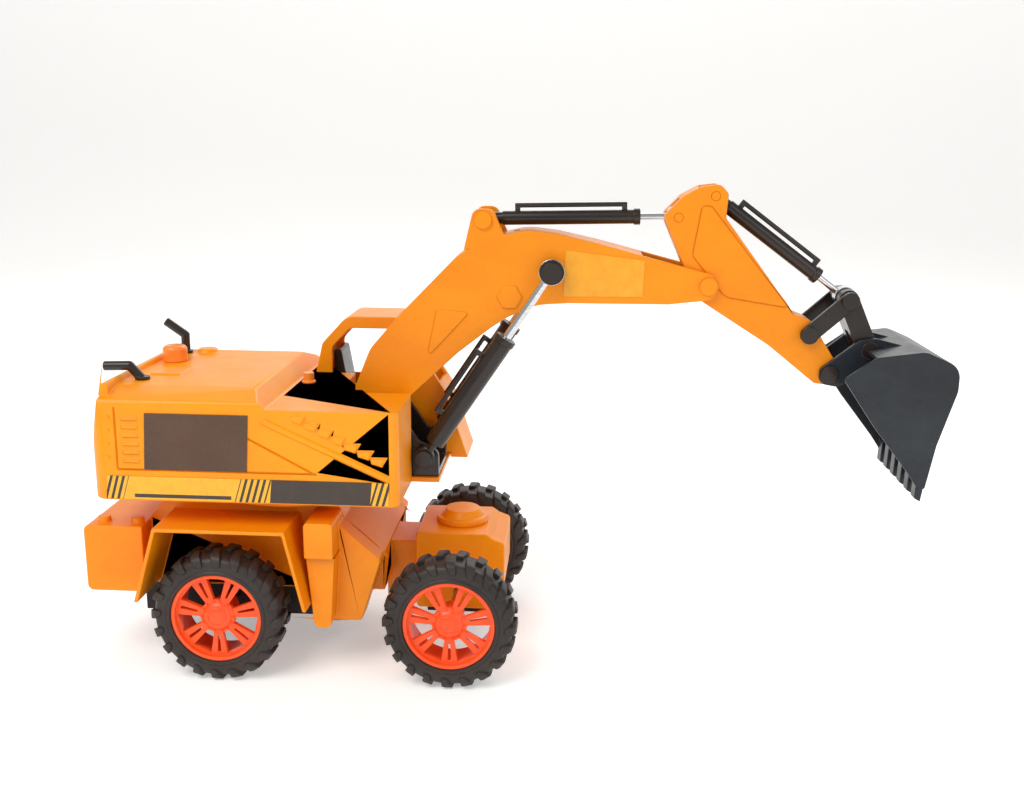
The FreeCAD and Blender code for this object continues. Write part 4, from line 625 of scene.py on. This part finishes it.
KEPT = {"gearbox_frame": "white", "drive_motor": "steel", "battery_cells": "cell",
        "battery_contacts": "brass", "slew_ring_gear": "white", "rear_axle": "steel",
        "axle_gear": "white", "motor_pinion": "white", "front_axle": "steel",
        "slew_retainer": "white", "slew_motor": "steel", "circuit_board": "green",
        "side_windows": "film", "side_labels": "side label", "slew_pinion": "white",
        "boom_labels": "boom label", "arm_jack_rod": "rod",
        "bucket_jack_rod": "rod"}
for node, finish in KEPT.items():
    mesh = frame["nodes"][node].data
    mesh.materials.clear()
    mesh.materials.append(FINISH[finish])

# ---------------------------------------------------------------- camera, floor and light

VIEW_TURN = math.radians(8.0)    # the view is turned this far about the slewing axis
SENSOR_WIDTH, FOCAL_LENGTH = 36.0, 38.671875     # mm
LENS_YAW = 0.0791
LENS_PITCH = 0.2287
LENS_ROLL = -0.0099
LENS_SPOT = at(35.5, -532.3, 246.05)


def camera():
    """The lens that the toy is seen through."""
    forward = Vector((math.sin(LENS_YAW) * math.cos(LENS_PITCH),
                      math.cos(LENS_YAW) * math.cos(LENS_PITCH), -math.sin(LENS_PITCH)))
    right = Vector((math.cos(LENS_YAW), -math.sin(LENS_YAW), 0.0))
    down = forward.cross(right)
    side = math.cos(LENS_ROLL) * right + math.sin(LENS_ROLL) * down
    up = math.sin(LENS_ROLL) * right - math.cos(LENS_ROLL) * down
    matrix = Matrix((side, up, -forward)).transposed().to_4x4()
    matrix.translation = LENS_SPOT
    pivot = Matrix.Translation(at(SLEW_X, 0, 0))
    turned = pivot @ Matrix.Rotation(VIEW_TURN, 4, "Z") @ pivot.inverted() @ matrix
    data = bpy.data.cameras.new("lens")
    data.sensor_width = SENSOR_WIDTH
    data.lens = FOCAL_LENGTH
    data.clip_start = 0.01
    data.clip_end = 20.0
    lens = bpy.data.objects.new("lens", data)
    lens.matrix_world = turned
    bpy.context.scene.collection.objects.link(lens)
    bpy.context.scene.camera = lens


camera()


def studio_floor():
    """Pale paper that bends up behind the toy."""
    recipe = Recipe("studio paper")
    fibre = recipe.noise(500, 4, 0.6)
    recipe.set(Base_Color=recipe.blend(recipe.spread(fibre, 0.3, 0.7, 0.0, 1.0),
                                       tone(250, 249, 247), tone(246, 245, 243)),
               Roughness=0.75, Emission_Color=(1.0, 1.0, 1.0, 1.0), Emission_Strength=0.32)
    recipe.bump(fibre, 0.05, 0.0002)
    half, back, bend, top = 2.6, 1.3, 0.7, 2.2
    profile = [(-3.0, 0.0), (back, 0.0)]
    for step in range(1, 13):
        angle = step / 12 * math.pi / 2
        profile.append((back + bend * math.sin(angle), bend * (1 - math.cos(angle))))
    profile.append((back + bend, top))
    vertices = [(side * half, depth, height) for depth, height in profile for side in (-1, 1)]
    faces = [(2 * i, 2 * i + 1, 2 * i + 3, 2 * i + 2) for i in range(len(profile) - 1)]
    mesh = bpy.data.meshes.new("studio_floor")
    mesh.from_pydata(vertices, [], faces)
    mesh.polygons.foreach_set("use_smooth", [True] * len(mesh.polygons))
    mesh.materials.append(recipe.material)
    floor = bpy.data.objects.new("studio_floor", mesh)
    bpy.context.scene.collection.objects.link(floor)


studio_floor()


def soft_box(name, spot, aim, size, power, colour=(1.0, 1.0, 1.0)):
    """A rectangular lamp at spot, turned towards aim."""
    data = bpy.data.lights.new(name, "AREA")
    data.shape = "RECTANGLE"
    data.size, data.size_y = size
    data.energy = power
    data.color = colour
    lamp = bpy.data.objects.new(name, data)
    lamp.location = spot
    lamp.rotation_euler = (Vector(aim) - Vector(spot)).to_track_quat("-Z", "Y").to_euler()
    bpy.context.scene.collection.objects.link(lamp)


TOY_MIDDLE = (0.0, 0.0, 0.1)
soft_box("key light", (-0.55, -0.75, 1.05), TOY_MIDDLE, (0.9, 0.7), 10, (1.0, 0.985, 0.96))
soft_box("fill light", (0.95, -0.8, 0.55), TOY_MIDDLE, (0.9, 0.9), 3.5)
soft_box("back light", (0.2, 0.95, 0.95), TOY_MIDDLE, (1.2, 0.6), 6)
world = bpy.data.worlds.new("studio air")
bpy.context.scene.world = world
world.use_nodes = True
world.node_tree.nodes["Background"].inputs["Color"].default_value = (1.0, 0.995, 0.985, 1.0)
world.node_tree.nodes["Background"].inputs["Strength"].default_value = 0.42
bpy.context.scene.view_settings.view_transform = "Standard"
